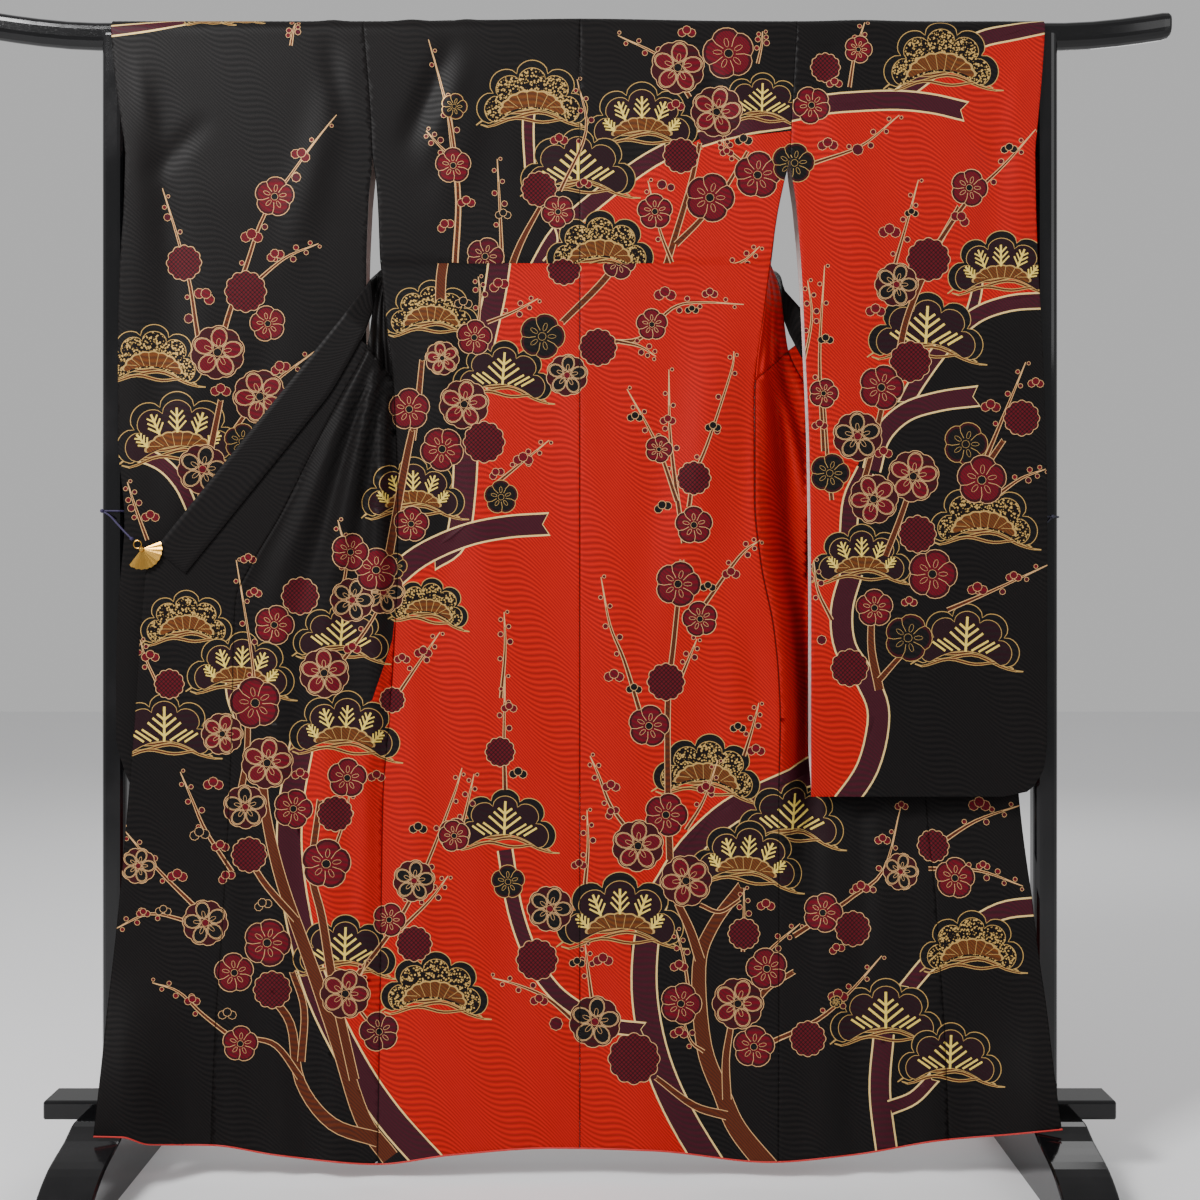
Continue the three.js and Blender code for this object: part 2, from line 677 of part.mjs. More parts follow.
function bar(grow) {
  const half = [...BAR_STATIONS].reverse().map((s) => ({ x: -s.x, size: s.size }));
  const stations = [...half, ...BAR_STATIONS.slice(1)];
  const rings = stations.map(({ x, size }) => {
    const centre = BAR_TOP - BAR_HEIGHT / 2 + barRise(x);
    const loop = roundedLoop(BAR_DEPTH / 2 + grow, BAR_HEIGHT / 2 + grow, BAR_ROUND + grow, 4);
    return loop.map((p) => new THREE.Vector3(x, p.u * size, centre + p.v * size));
  });
  return loft(rings);
}

function welded(geometry) {
  const bare = new THREE.BufferGeometry();
  bare.setAttribute("position", geometry.getAttribute("position"));
  if (geometry.index) bare.setIndex(geometry.index);
  return mergeVertices(bare, 1e-3);
}

function box(x0, x1, y0, y1, z0, z1) {
  const geometry = new THREE.BoxGeometry(x1 - x0, y1 - y0, z1 - z0);
  geometry.translate((x0 + x1) / 2, (y0 + y1) / 2, (z0 + z1) / 2);
  return welded(geometry);
}

const BOARD_TOP = BOARD_BOTTOM + BOARD_HEIGHT;

function upright(side) {
  const stations = [
    { z: BOARD_TOP + SEAT_GAP, inset: 0 },
    { z: FORK_TOP - 4, inset: 0 },
    { z: FORK_TOP - 1, inset: 1.2 },
    { z: FORK_TOP, inset: 3 },
  ];
  const rings = stations.map(({ z, inset }) => {
    const loop = roundedLoop(UPRIGHT_WIDTH / 2 - inset, UPRIGHT_DEPTH / 2 - inset / 4, UPRIGHT_ROUND - inset, 4);
    return loop.map((p) => new THREE.Vector3(side * UPRIGHT_X + p.u, p.v, z));
  });
  const slotHalf = BAR_DEPTH / 2 + SEAT_GAP;
  const centre = BAR_TOP - BAR_HEIGHT / 2;
  const reach = UPRIGHT_X + UPRIGHT_WIDTH;
  const edges = side < 0 ? [-reach, 0] : [0, reach];
  const slot = solidOf(box(edges[0], edges[1], -slotHalf, slotHalf, centre, FORK_TOP + 10));
  return geometryOf(solidOf(loft(rings)).subtract(solidOf(bar(SEAT_GAP))).subtract(slot));
}

// Half outline of a foot seen from its side
const FOOT_OUTLINE = [
  { y: 0, z: 90 },
  { y: 70, z: 90 },
  { y: 109, z: 77 },
  { y: 140, z: 70 },
  { y: 171, z: 62 },
  { y: 195, z: 51 },
  { y: 214, z: 39 },
  { y: 233, z: 21 },
  { y: 249, z: 0 },
];

function foot(side) {
  const height = along(FOOT_OUTLINE, "y", "z");
  const places = [0, 35, 70, 82, 95, 109, 125, 140, 156, 171, 184, 195, 205, 214, 224, 233, 242, 249];
  const half = places.map((y) => ({ y, z: height(y) }));
  const top = [...half.slice(1).reverse().map((p) => ({ y: -p.y, z: p.z })), ...half];
  const slices = [
    { out: -FOOT_WIDTH / 2, inset: FOOT_EDGE },
    { out: -FOOT_WIDTH / 2 + 1, inset: 1 },
    { out: -FOOT_WIDTH / 2 + FOOT_EDGE, inset: 0 },
    { out: FOOT_WIDTH / 2 - FOOT_EDGE, inset: 0 },
    { out: FOOT_WIDTH / 2 - 1, inset: 1 },
    { out: FOOT_WIDTH / 2, inset: FOOT_EDGE },
  ];
  const rings = slices.map(({ out, inset }) => top.map((p) => {
    const x = side * UPRIGHT_X + out;
    return new THREE.Vector3(x, p.y * (1 - inset / 249), Math.max(0, p.z - inset));
  }));
  const notch = box(-BOARD_HALF_LENGTH, BOARD_HALF_LENGTH, -BOARD_DEPTH / 2 - SEAT_GAP,
    BOARD_DEPTH / 2 + SEAT_GAP, BOARD_BOTTOM - SEAT_GAP, BOARD_TOP + 10);
  return geometryOf(solidOf(loft(rings)).subtract(solidOf(notch)));
}

function lowerBoard() {
  const ends = [
    { x: -BOARD_HALF_LENGTH, inset: 2 },
    { x: -BOARD_HALF_LENGTH + 2, inset: 0 },
    { x: BOARD_HALF_LENGTH - 2, inset: 0 },
    { x: BOARD_HALF_LENGTH, inset: 2 },
  ];
  const middle = BOARD_BOTTOM + BOARD_HEIGHT / 2;
  return loft(ends.map(({ x, inset }) => {
    const loop = roundedLoop(BOARD_DEPTH / 2 - inset, BOARD_HEIGHT / 2 - inset, 4 - inset, 2);
    return loop.map((p) => new THREE.Vector3(x, p.u, middle + p.v));
  }));
}

add("top_bar", bar(0), "lacquer");
add("upright_left", upright(LEFT), "lacquer");
add("upright_right", upright(RIGHT), "lacquer");
add("lower_board", lowerBoard(), "lacquer");
add("foot_left", foot(LEFT), "lacquer");
add("foot_right", foot(RIGHT), "lacquer");

// Gilt folding fan that clips the collar's end, with its pin, rear tongue and ring
const FAN = { x: -611, z: 883, radius: 29, from: 22, to: -128, ribs: 10, wall: 1.5, pleat: 0.7 };
const FAN_Y = wingDepth(LEFT, FAN.x, FAN.z) - COLLAR_LIFT - COLLAR / 2 - SEAT_GAP - FAN.wall / 2 - FAN.pleat;
const TONGUE_Y = wingDepth(LEFT, FAN.x, FAN.z) + CLOTH / 2 + SEAT_GAP + 0.7;
const PIN = { radius: 2.6, head: 4.2 };
const RING = { x: -617, z: 889.5, radius: 5.5, wire: 0.9 };

function ball(centre, radius) {
  const geometry = welded(new THREE.SphereGeometry(radius, 10, 7));
  geometry.translate(centre.x, centre.y, centre.z);
  return solidOf(welded(geometry));
}

function fanClip() {
  const radii = [3, 13, 24, FAN.radius];
  const blade = radii.map((radius) => {
    const line = [];
    for (let i = 0; i <= 2 * FAN.ribs; i += 1) {
      const rib = i % 2 === 0;
      const angle = THREE.MathUtils.degToRad(mix(FAN.from, FAN.to, i / (2 * FAN.ribs)));
      const reach = radius - (radius === FAN.radius && rib ? 1.2 : 0);
      const y = FAN_Y + (rib ? 1 : -1) * FAN.pleat * (radius / FAN.radius);
      line.push(new THREE.Vector3(FAN.x + reach * Math.cos(angle), y, FAN.z + reach * Math.sin(angle)));
    }
    return line;
  });
  const pin = new THREE.CylinderGeometry(PIN.radius, PIN.radius, TONGUE_Y - FAN_Y + 1.4, 12);
  pin.translate(FAN.x, (TONGUE_Y + FAN_Y) / 2, FAN.z);
  const ring = new THREE.TorusGeometry(RING.radius, RING.wire, 8, 20);
  ring.rotateX(Math.PI / 2);
  ring.translate(RING.x, FAN_Y, RING.z);
  const fittings = [
    solidOf(welded(pin)),
    solidOf(welded(ring)),
    solidOf(box(FAN.x - 3, FAN.x + 24, TONGUE_Y - 0.7, TONGUE_Y + 0.7, FAN.z - 9, FAN.z + 3)),
    ball({ x: FAN.x, y: FAN_Y - 0.6, z: FAN.z }, PIN.head),
  ];
  return geometryOf(fittings.reduce((sum, piece) => sum.add(piece), solidOf(wall(blade, FAN.wall))));
}

// Cords: a loop tied round each upright and a tail to what it holds
const CORD_RADIUS = 1.4;
const KNOT_RADIUS = 3;
const LOOP_REACH = CORD_RADIUS + SEAT_GAP;
const LOOP_Z = { [LEFT]: 938, [RIGHT]: 930 };
const LEFT_TAIL = [
  { x: -676, y: -UPRIGHT_DEPTH / 2 - LOOP_REACH, z: 938 },
  { x: -664, y: -24, z: 931 },
  { x: -652, y: -34, z: 921 },
  { x: -636, y: -46, z: 907 },
  { x: -625.5, y: FAN_Y, z: 897.5 },
];
const RIGHT_TAIL = [
  { x: 669, y: -UPRIGHT_DEPTH / 2 - LOOP_REACH, z: 930 },
  { x: 656, y: -UPRIGHT_DEPTH / 2 - LOOP_REACH, z: 917 },
  { x: 645, y: -UPRIGHT_DEPTH / 2 - LOOP_REACH, z: 910 },
  { x: 641.4, y: -12, z: 905 },
  { x: 641, y: 8, z: 900 },
  { x: 634, y: 17, z: 895 },
  { x: 606, y: 20, z: 889.5 },
];

function cordTube(points, steps) {
  const section = new THREE.Shape();
  section.absarc(0, 0, CORD_RADIUS, 0, 2 * Math.PI, false);
  const path = new THREE.CatmullRomCurve3(points.map((p) => new THREE.Vector3(p.x, p.y, p.z)));
  const settings = { steps, curveSegments: 4, bevelEnabled: false, extrudePath: path };
  return solidOf(welded(new THREE.ExtrudeGeometry(section, settings)));
}

function cordLoop(side) {
  const loop = roundedLoop(UPRIGHT_WIDTH / 2 + LOOP_REACH, UPRIGHT_DEPTH / 2 + LOOP_REACH,
    UPRIGHT_ROUND + LOOP_REACH, 4);
  const rings = loop.map((p, i) => {
    const before = loop[(i + loop.length - 1) % loop.length];
    const after = loop[(i + 1) % loop.length];
    const run = new THREE.Vector3(after.u - before.u, after.v - before.v, 0).normalize();
    const out = new THREE.Vector3(run.y, -run.x, 0);
    const ring = [];
    for (let k = 0; k < 8; k += 1) {
      const angle = (k / 8) * 2 * Math.PI;
      const point = new THREE.Vector3(side * UPRIGHT_X + p.u, p.v, LOOP_Z[side]);
      point.addScaledVector(out, CORD_RADIUS * Math.cos(angle));
      point.z += CORD_RADIUS * Math.sin(angle);
      ring.push(point);
    }
    return ring;
  });
  return solidOf(loft(rings, true));
}

function tiedCord(side, tail, steps) {
  const knots = [tail[0], tail[tail.length - 1]].map((end) => ball(end, KNOT_RADIUS));
  knots[0] = ball({ ...tail[0], y: tail[0].y - KNOT_RADIUS + CORD_RADIUS }, KNOT_RADIUS);
  return geometryOf([cordTube(tail, steps), ...knots].reduce((sum, piece) => sum.add(piece), cordLoop(side)));
}

add("fan_clip", fanClip(), "gilt");
add("cord_left", tiedCord(LEFT, LEFT_TAIL, 18), "purple");
add("cord_right", tiedCord(RIGHT, RIGHT_TAIL, 24), "navy");

export default group;
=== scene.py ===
"""Looks for the furisode on its display stand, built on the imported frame.

The cloth is made of the garment's own panels. Each lies in a plane of its own, in millimetres: x across,
and s along the cloth, which is the height above the floor up to the bar and then runs on over it.
A panel's print is drawn in that plane, parted into triangles along its outlines, and laid on the
hanging form.
"""

import math

import bpy
import numpy as np
from mathutils.geometry import delaunay_2d_cdt
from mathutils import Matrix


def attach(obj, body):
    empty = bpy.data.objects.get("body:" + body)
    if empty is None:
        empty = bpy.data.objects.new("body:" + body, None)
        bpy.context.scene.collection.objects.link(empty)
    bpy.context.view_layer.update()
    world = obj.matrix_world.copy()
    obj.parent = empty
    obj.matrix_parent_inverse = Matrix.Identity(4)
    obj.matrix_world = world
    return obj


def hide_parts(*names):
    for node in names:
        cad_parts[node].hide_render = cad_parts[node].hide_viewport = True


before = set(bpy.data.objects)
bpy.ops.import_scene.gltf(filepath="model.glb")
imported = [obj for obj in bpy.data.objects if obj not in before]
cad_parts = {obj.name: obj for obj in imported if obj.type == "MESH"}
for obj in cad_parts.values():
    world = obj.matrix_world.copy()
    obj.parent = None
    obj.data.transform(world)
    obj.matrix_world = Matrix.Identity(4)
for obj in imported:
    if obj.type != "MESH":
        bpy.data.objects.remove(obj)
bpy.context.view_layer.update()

MM = 0.001
LEFT = -1
RIGHT = 1

# Cloth, in millimetres, as in the part
CLOTH = 1.6
COLLAR = 2.4
SEAM_GAP = 0.06
SIDE_TURN_GAP = 0.1
SEAT_GAP = 0.3

# Stand
BAR_TOP = 1635
UPRIGHT_X = 662
UPRIGHT_WIDTH = 34
UPRIGHT_DEPTH = 36
UPRIGHT_ROUND = 11

# The cloth turns over the bar on a half circle, then hangs
TURN_RADIUS = 20.4
RIDGE_Z = BAR_TOP + SEAT_GAP + COLLAR / 2 + 0.2
SPRING = RIDGE_Z - TURN_RADIUS
RIDGE = SPRING + TURN_RADIUS * math.pi / 2

# Widths and heights are read on the plane where the cloth hangs
# What hangs nearer to the eye lies on the same line of sight
EYE_DISTANCE = 2200
EYE_X = 28.5
EYE_Z = 812
HANG_PLANE = -25


def table(columns, rows):
    """Named columns of numbers, one array for each."""
    return dict(zip(columns.split(), np.array(rows, dtype=float).T))


def along(data, key, column):
    """A column at any key, by a cubic through the rows that never overshoots them."""
    order = np.argsort(data[key])
    keys = data[key][order]
    values = data[column][order]
    slopes = np.diff(values) / np.diff(keys)
    tangents = np.empty_like(values)
    tangents[0] = slopes[0]
    tangents[-1] = slopes[-1]
    product = slopes[:-1] * slopes[1:]
    total = slopes[:-1] + slopes[1:]
    tangents[1:-1] = np.where(product > 0, 2 * product / np.where(total == 0, 1, total), 0)

    def at(k):
        k = np.clip(np.asarray(k, dtype=float), keys[0], keys[-1])
        i = np.clip(np.searchsorted(keys, k, side="right") - 1, 0, len(keys) - 2)
        span = keys[i + 1] - keys[i]
        t = (k - keys[i]) / span
        ease = t * t * (3 - 2 * t)
        bend = span * t * (1 - t) * ((1 - t) * tangents[i] - t * tangents[i + 1])
        return values[i] + (values[i + 1] - values[i]) * ease + bend

    return at


def on_both_sides(data, key, left, right):
    return {LEFT: along(data, key, left), RIGHT: along(data, key, right)}


def mix(a, b, t):
    return a + (b - a) * t


def smooth(t):
    """0 below 0, 1 above 1, and an even ease between."""
    t = np.clip(t, 0, 1)
    return t * t * (3 - 2 * t)


# One row for each crosswise line of a body half, from the shoulder to the hem
WING = table("row side behind in_x in_z in_y", [
    (0, RIDGE, 1, 85, RIDGE, TURN_RADIUS),
    (1, SPRING, 1, 90, SPRING, TURN_RADIUS),
    (2, 1550, 1, 116, 1556, 21),
    (3, 1490, 1, 146, 1503, 22),
    (4, 1440, 0.95, 171, 1460, 23),
    (5, 1398, 0.7, 193, 1424, 23),
    (6, 1358, 0.35, 215, 1390, 23),
    (7, 1323, 0.08, 236, 1359, 22),
    (8, 1291, 0, 255, 1332, 20),
    (9, 1286, 0, 258, 1328, 19),
    (10, 1246, 0, 276, 1292, 12),
    (11, 1208, 0, 288, 1256, -8),
    (12, 1168, 0, 293, 1218, -28),
    (13, 1123, 0, 300, 1172, -42),
    (14, 1048, 0, 337, 1100, -46),
    (15, 958, 0, 379, 1020, -46),
    (16, 868, 0, 423, 932, -46),
    (17, 793, 0, 464, 862, -46),
    (18, 748, 0, 486, 812, -46),
    (19, 690, 0, 489, 748, -46),
    (20, 560, 0, 492, 610, -46),
    (21, 430, 0, 498, 470, -46),
    (22, 300, 0, 506, 335, -46),
    (23, 190, 0, 514, 222, -46),
    (24, 105, 0, 518, 133, -46),
    (25, 20, 0, 521, 44, -46),
])
GAP_ROW = 12
POINT_ROW = 13
LAST_ROW = 25

# Side edge of the back by height, with the armhole seam above 1440
SIDE_EDGE = table("z left right", [
    (0, 286, 280), (248, 282, 281), (530, 278, 281), (643, 269, 283), (699, 265, 281),
    (770, 261, 274), (868, 257, 255), (953, 257, 247), (1094, 262, 247), (1223, 275, 261),
    (1313, 283, 273), (1360, 285, 280), (1403, 288, 289), (1444, 294, 298), (1490, 296, 300),
    (1648, 309, 309),
])

# Outer edge of the overlap from its point down to the hem
OVERLAP_EDGE = table("row x z right_x", [
    (13, 312, 1181, 312), (14, 391, 1140, 391), (15, 450, 1062, 450), (16, 516, 980, 516),
    (17, 577, 904, 577), (18, 611, 860, 611), (19, 619, 790, 617), (20, 629, 640, 625),
    (21, 641, 490, 631), (22, 654, 350, 643), (23, 667, 236, 659), (24, 677, 144, 670),
    (25, 687, 55, 682),
])

# Hem height by place
HEM = table("x z", [
    (-687, 54), (-646, 53), (-609, 43), (-523, 42), (-422, 27), (-287, 15), (-182, 28), (-38, 38),
    (106, 34), (268, 18), (383, 28), (512, 49), (617, 58), (682, 64),
])

# Free edge of the collar behind the bar and through the armhole gap
COLLAR_FREE = table("row x z left_y right_y", [
    (0, 38, 1597, 21, 21), (1, 44, 1586, 21, 21), (2, 66, 1533, 21, 21), (3, 98, 1477, 22, 22),
    (4, 125, 1432, 24, 24), (5, 149, 1397, 26, 26), (6, 175, 1364, 30, 30), (7, 201, 1336, 36, 36),
    (8, 226, 1316, 42, 42), (9, 230, 1313, 43, 43), (10, 266, 1300, 46, 50),
    (11, 291, 1286, 24, 52), (12, 297, 1262, -27, 38),
])
COLLAR_FROM = (300, 1256)
COLLAR_TO = (600, 884)
COLLAR_WIDTHS = table("along width", [
    (0.1, 37), (0.2, 46), (0.35, 55), (1, 55),
])

# Sleeves by height: the outer edge, and the inner edge below the armhole
SLEEVE_EDGE = table("z out_left out_right in_left in_right", [
    (534, 600, 598, 304, 327), (541, 622, 631, 304, 327), (555, 636, 645, 304, 327),
    (578, 645, 656, 304, 327), (620, 655, 660, 304, 327), (700, 655, 660, 304, 327),
    (800, 652, 660, 304, 327), (925, 643, 660, 304, 326), (1040, 652, 658, 303, 324),
    (1160, 652, 654, 302, 319), (1270, 650, 648, 302, 314), (1370, 644, 644, 299, 306),
    (1440, 642, 643, 294, 298), (1490, 648, 647, 296, 300), (1550, 657, 653, 301, 304),
    (SPRING, 663, 658, 306, 307), (RIDGE, 665, 660, 309, 309),
])
CUFF_END = 1440
REAR_CUFF_X = 638
SLEEVE_BOTTOM = 534
SLEEVE_FRONT_EDGE = -26.5
SLEEVE_FRONT_Y = -22.5
SLEEVE_REAR_Y = 8
SLEEVE_SEAM = CLOTH + SEAT_GAP

# Depth of the back's plane by height, with the step of the inner tuck
BACK_DEPTH = table("z y", [
    (0, -45), (130, -43), (300, -36), (800, -28), (1286, -22.4), (1291, -24.2), (1440, -21.5),
    (SPRING, -TURN_RADIUS), (1700, -TURN_RADIUS),
])
TUCK = 1288

# Depth of the three waves across a swung-out front
FRONT_FOLDS = table("row depth", [
    (0, 0), (12, 1.5), (13, 5), (14, 9), (15, 9), (16, 7.5), (17, 6), (19, 4.5), (22, 3.5), (25, 5),
])

# Soft rises along the top edge where seams and the collar lie under the cloth
TOP_RISES = table("x rise half", [
    (0, 4, 150), (-352, 2, 16), (-240, 2.5, 20), (-162, 2, 16), (400, 2, 50),
])

side_height = along(WING, "row", "side")
side_behind = along(WING, "row", "behind")
inner_x = along(WING, "row", "in_x")
inner_z = along(WING, "row", "in_z")
inner_y = along(WING, "row", "in_y")
overlap_x = on_both_sides(OVERLAP_EDGE, "row", "x", "right_x")
overlap_z = along(OVERLAP_EDGE, "row", "z")
fold_depth = along(FRONT_FOLDS, "row", "depth")
side_edge = on_both_sides(SIDE_EDGE, "z", "left", "right")
hem_height = along(HEM, "x", "z")
back_depth = along(BACK_DEPTH, "z", "y")
sleeve_out = on_both_sides(SLEEVE_EDGE, "z", "out_left", "out_right")
sleeve_in = on_both_sides(SLEEVE_EDGE, "z", "in_left", "in_right")


def top_rise(x):
    """Height that the soft rises add along the top edge: bell curves, added together."""
    bumps = zip(*TOP_RISES.values())
    return sum(rise * np.exp(-(((x - centre) / half) ** 2)) for centre, rise, half in bumps)


def drape(x, height, y):
    """Points of hanging cloth: above SPRING it turns over the bar, on the side of it that y says."""
    x, height, y = np.broadcast_arrays(*(np.asarray(v, dtype=float) for v in (x, height, y)))
    turn = (height - SPRING) / TURN_RADIUS
    over = height > SPRING
    scale = (EYE_DISTANCE + np.minimum(y, HANG_PLANE)) / (EYE_DISTANCE + HANG_PLANE)
    px = np.where(over, x, EYE_X + (x - EYE_X) * scale)
    py = np.where(over, np.sign(y) * TURN_RADIUS * np.cos(turn), y)
    round_bar = SPRING + (TURN_RADIUS + top_rise(x)) * np.sin(turn)
    pz = np.where(over, round_bar, EYE_Z + (height - EYE_Z) * scale)
    return np.stack([px, py, pz], axis=-1)


# Forms of the hanging pieces

# Depths of the swung-out fronts, and how far their corners come forward over the feet
LEFT_WING_Y = -45
RIGHT_WING_Y = 22
RIGHT_FOOT_Y = -44
CORNER_FORWARD = {LEFT: 67, RIGHT: 54}
WAVE_DEPTH = 6
WING_WAVE_DEPTH = 5


def back_wave(x, z):
    """Soft upright waves of the back, deeper towards the hem."""
    depth = mix(WAVE_DEPTH, 0, np.clip((z - 20) / 1200, 0, 1))
    return depth * (0.6 * np.cos(x / 41 + 0.8) + 0.4 * np.cos(x / 27 - 1.1 + z / 400))


def back_y(x, z):
    """Depth of the back: its plane and its waves."""
    return back_depth(z) + back_wave(x, z)


def wing_depth(side, x, z):
    """Depth of a swung-out front: before the left sleeve, behind the right one, forward over the feet."""
    corner = smooth((np.abs(x) - 540) / 110) * smooth((330 - z) / 270)
    if side == LEFT:
        plane = LEFT_WING_Y
    else:
        plane = mix(RIGHT_WING_Y, RIGHT_FOOT_Y, smooth((640 - z) / 380))
    return plane - CORNER_FORWARD[side] * corner


def wing_wave(x, z):
    """Upright waves of a swung-out front, deeper towards the hem."""
    return mix(WING_WAVE_DEPTH, 0, np.clip((z - 20) / 500, 0, 1)) * np.cos(np.abs(x) / 33)


def side_gap(side, row):
    """Room at the side seam, wider where the front turns sharply away from the back."""
    away = smooth((row - 4) / 3)
    turn = away * (1 - smooth((row - (13 if side == LEFT else 19)) / 2))
    return mix(-SEAM_GAP / 2, SEAM_GAP / 2, away) + SIDE_TURN_GAP * turn


def side_depth(side, row):
    """Depth of the side seam: on the back, or behind the bar near the top."""
    z = side_height(row)
    return mix(back_y(side * side_edge[side](z), z), TURN_RADIUS, side_behind(row))


def inner_depth(side, row):
    """Depth of a front's inner seam: behind the bar, then out with the swung-out front."""
    hung = wing_depth(side, side * inner_x(row), inner_z(row))
    if side == LEFT:
        return np.where(row > POINT_ROW, hung, inner_y(row))
    behind = np.maximum(inner_y(row), np.minimum(RIGHT_WING_Y, TURN_RADIUS + row / 6))
    return np.where(row < POINT_ROW, behind, hung)


def front_ends(side, row):
    """Places of a crosswise line's two ends: x and height at the side seam, then at the inner seam."""
    start_z = side_height(row)
    start_x = side * (side_edge[side](start_z) + side_gap(side, row))
    end_x = side * (inner_x(row) - np.where(row < POINT_ROW, 0, SEAM_GAP / 2))
    return start_x, start_z, end_x, inner_z(row)


def front_y(side, row, share, x, height):
    """Depth of a front at a share of the way from the side seam to the inner seam."""
    start_x = front_ends(side, row)[0]
    start_y = side_depth(side, row)
    bow = np.sin(np.pi * np.clip(share, 0, 1))
    straight = mix(start_y, inner_depth(side, row), share)
    ramp = smooth(np.abs(x - start_x) / (30 if side == LEFT else 46))
    swung = mix(start_y, wing_depth(side, x, height), ramp)
    fold = fold_depth(row) * np.sin(2 * np.pi * (3 * share + 0.08 * row)) * bow ** 0.7
    return mix(straight, swung, smooth(row - GAP_ROW)) + fold + wing_wave(x, height) * bow


def overlap_ends(side, row):
    """Places of an overlap's crosswise line: at its seam with the front, then at its outer edge."""
    return side * (inner_x(row) + SEAM_GAP / 2), inner_z(row), side * overlap_x[side](row), overlap_z(row)


def overlap_y(side, row, share, x, height):
    """Depth of an overlap: from the front's own depth at the seam to the plane it hangs in."""
    seam_x = side * (inner_x(row) - SEAM_GAP / 2)
    seam_y = front_y(side, row, 1.0, seam_x, inner_z(row))
    start = mix(seam_y, wing_depth(side, x, height), smooth(share * 3))
    return start + wing_wave(x, height) * smooth(share * 2)


def row_through(ends, side, x, height):
    """The row whose crosswise line passes through each place, by halving the span of rows."""
    low = np.full(np.shape(x), float(POINT_ROW))
    high = np.full(np.shape(x), float(LAST_ROW))
    for _ in range(24):
        row = (low + high) / 2
        ax, az, bx, bz = ends(side, row)
        above = mix(az, bz, (x - ax) / (bx - ax)) > height
        low = np.where(above, row, low)
        high = np.where(above, high, row)
    ax, _, bx, _ = ends(side, low)
    return low, np.clip((x - ax) / (bx - ax), 0, 1)


def sleeve_front_y(x, z):
    """Depth of a sleeve's front: near the back's plane at the bar, and forward at its outer edge."""
    at_bar = back_depth(z) - 0.4 * smooth((SPRING - z) / 60)
    hang = mix(SLEEVE_FRONT_Y, at_bar, smooth((z - 1340) / 100))
    edge = smooth((np.abs(x) - 585) / 50) * smooth((SPRING - z) / 200)
    return mix(hang, SLEEVE_FRONT_EDGE, edge)


def sleeve_rear_y(x, z):
    """Depth of a sleeve's rear: apart from the front, and sewn to it at the outer edge and the bottom."""
    hollow = mix(SLEEVE_REAR_Y, TURN_RADIUS, smooth((z - 1150) / 290))
    seam = sleeve_front_y(x, z) + SLEEVE_SEAM
    at_edge = smooth((np.abs(x) - 598) / 34) * smooth((CUFF_END + 50 - z) / 50)
    at_bottom = smooth((SLEEVE_BOTTOM + 70 - z) / 64)
    return mix(hollow, seam, np.maximum(at_edge, at_bottom))


def crease(x, s, x0, s0, x1, s1, width, depth):
    """A soft trough or ridge along a line, rising and fading along its length."""
    run = np.array([x1 - x0, s1 - s0])
    length = np.hypot(*run)
    t = ((x - x0) * run[0] + (s - s0) * run[1]) / length ** 2
    off = ((x - x0) * run[1] - (s - s0) * run[0]) / length
    return depth * np.exp(-((off / width) ** 2)) * np.sin(np.pi * np.clip(t, 0, 1)) ** 1.3


CREASE_SHARE = 1.4
CREASES = {
    "back": table("x0 s0 x1 s1 width depth", [
        (-176, 1615, -254, 1440, 14, -3.6),
        (-150, 1600, -230, 1400, 18, 3.0),
        (-120, 1600, -210, 1330, 26, 2.2),
        (150, 1610, 262, 1390, 15, -3.4),
        (186, 1600, 268, 1450, 16, 2.6),
        (60, 1560, 170, 1330, 30, 2.0),
        (-70, 1500, -30, 1300, 24, -1.6),
        (-30, 755, 0, 752, 2, 0.3),
        (-262, 768, -150, 778, 5, 0.8),
        (-230, 1290, -90, 640, 30, 3.4),
        (-150, 1270, -200, 700, 24, -2.4),
        (215, 1270, 110, 700, 34, 3.4),
        (140, 1250, 60, 560, 30, -2.6),
        (-20, 1270, 30, 820, 26, 2.0),
        (-250, 950, -215, 120, 24, 3.2),
        (232, 880, 190, 130, 26, 3.2),
        (-120, 760, -96, 60, 28, -3.0),
        (90, 700, 112, 50, 28, -3.2),
        (-20, 620, -34, 60, 26, 2.6),
        (170, 560, 214, 70, 20, -2.4),
        (250, 1240, 224, 840, 20, -4.0),
        (226, 800, 264, 600, 18, -3.6),
        (180, 1180, 176, 780, 22, 2.6),
    ]),
    "sleeve": table("x0 s0 x1 s1 width depth", [
        (330, 1600, 420, 1250, 24, 2.8),
        (360, 1620, 330, 1470, 14, -2.2),
        (600, 1560, 560, 1100, 22, -2.6),
        (640, 1600, 600, 1450, 12, 1.8),
        (380, 1150, 350, 640, 26, 2.6),
        (520, 1300, 600, 760, 30, 2.8),
        (450, 900, 470, 560, 22, -2.4),
        (430, 1260, 500, 900, 26, -2.0),
        (620, 1400, 520, 1500, 14, -2.2),
        (366, 700, 440, 590, 8, 1.8),
    ]),
}


def creases(name, x, s):
    return CREASE_SHARE * sum(crease(x, s, *row) for row in zip(*CREASES[name].values()))


def lay_back(x, s):
    """The back: its depth, with soft creases lifted forward."""
    return drape(x, s, back_y(x, s) - creases("back", x, s))


def lay_hung(side, ends, depth):
    """A front or an overlap: crosswise lines between their ends, at the depth of each place."""
    def lay(x, s):
        row, share = row_through(ends, side, x, s)
        return drape(x, s, depth(side, row, share, x, s))
    return lay


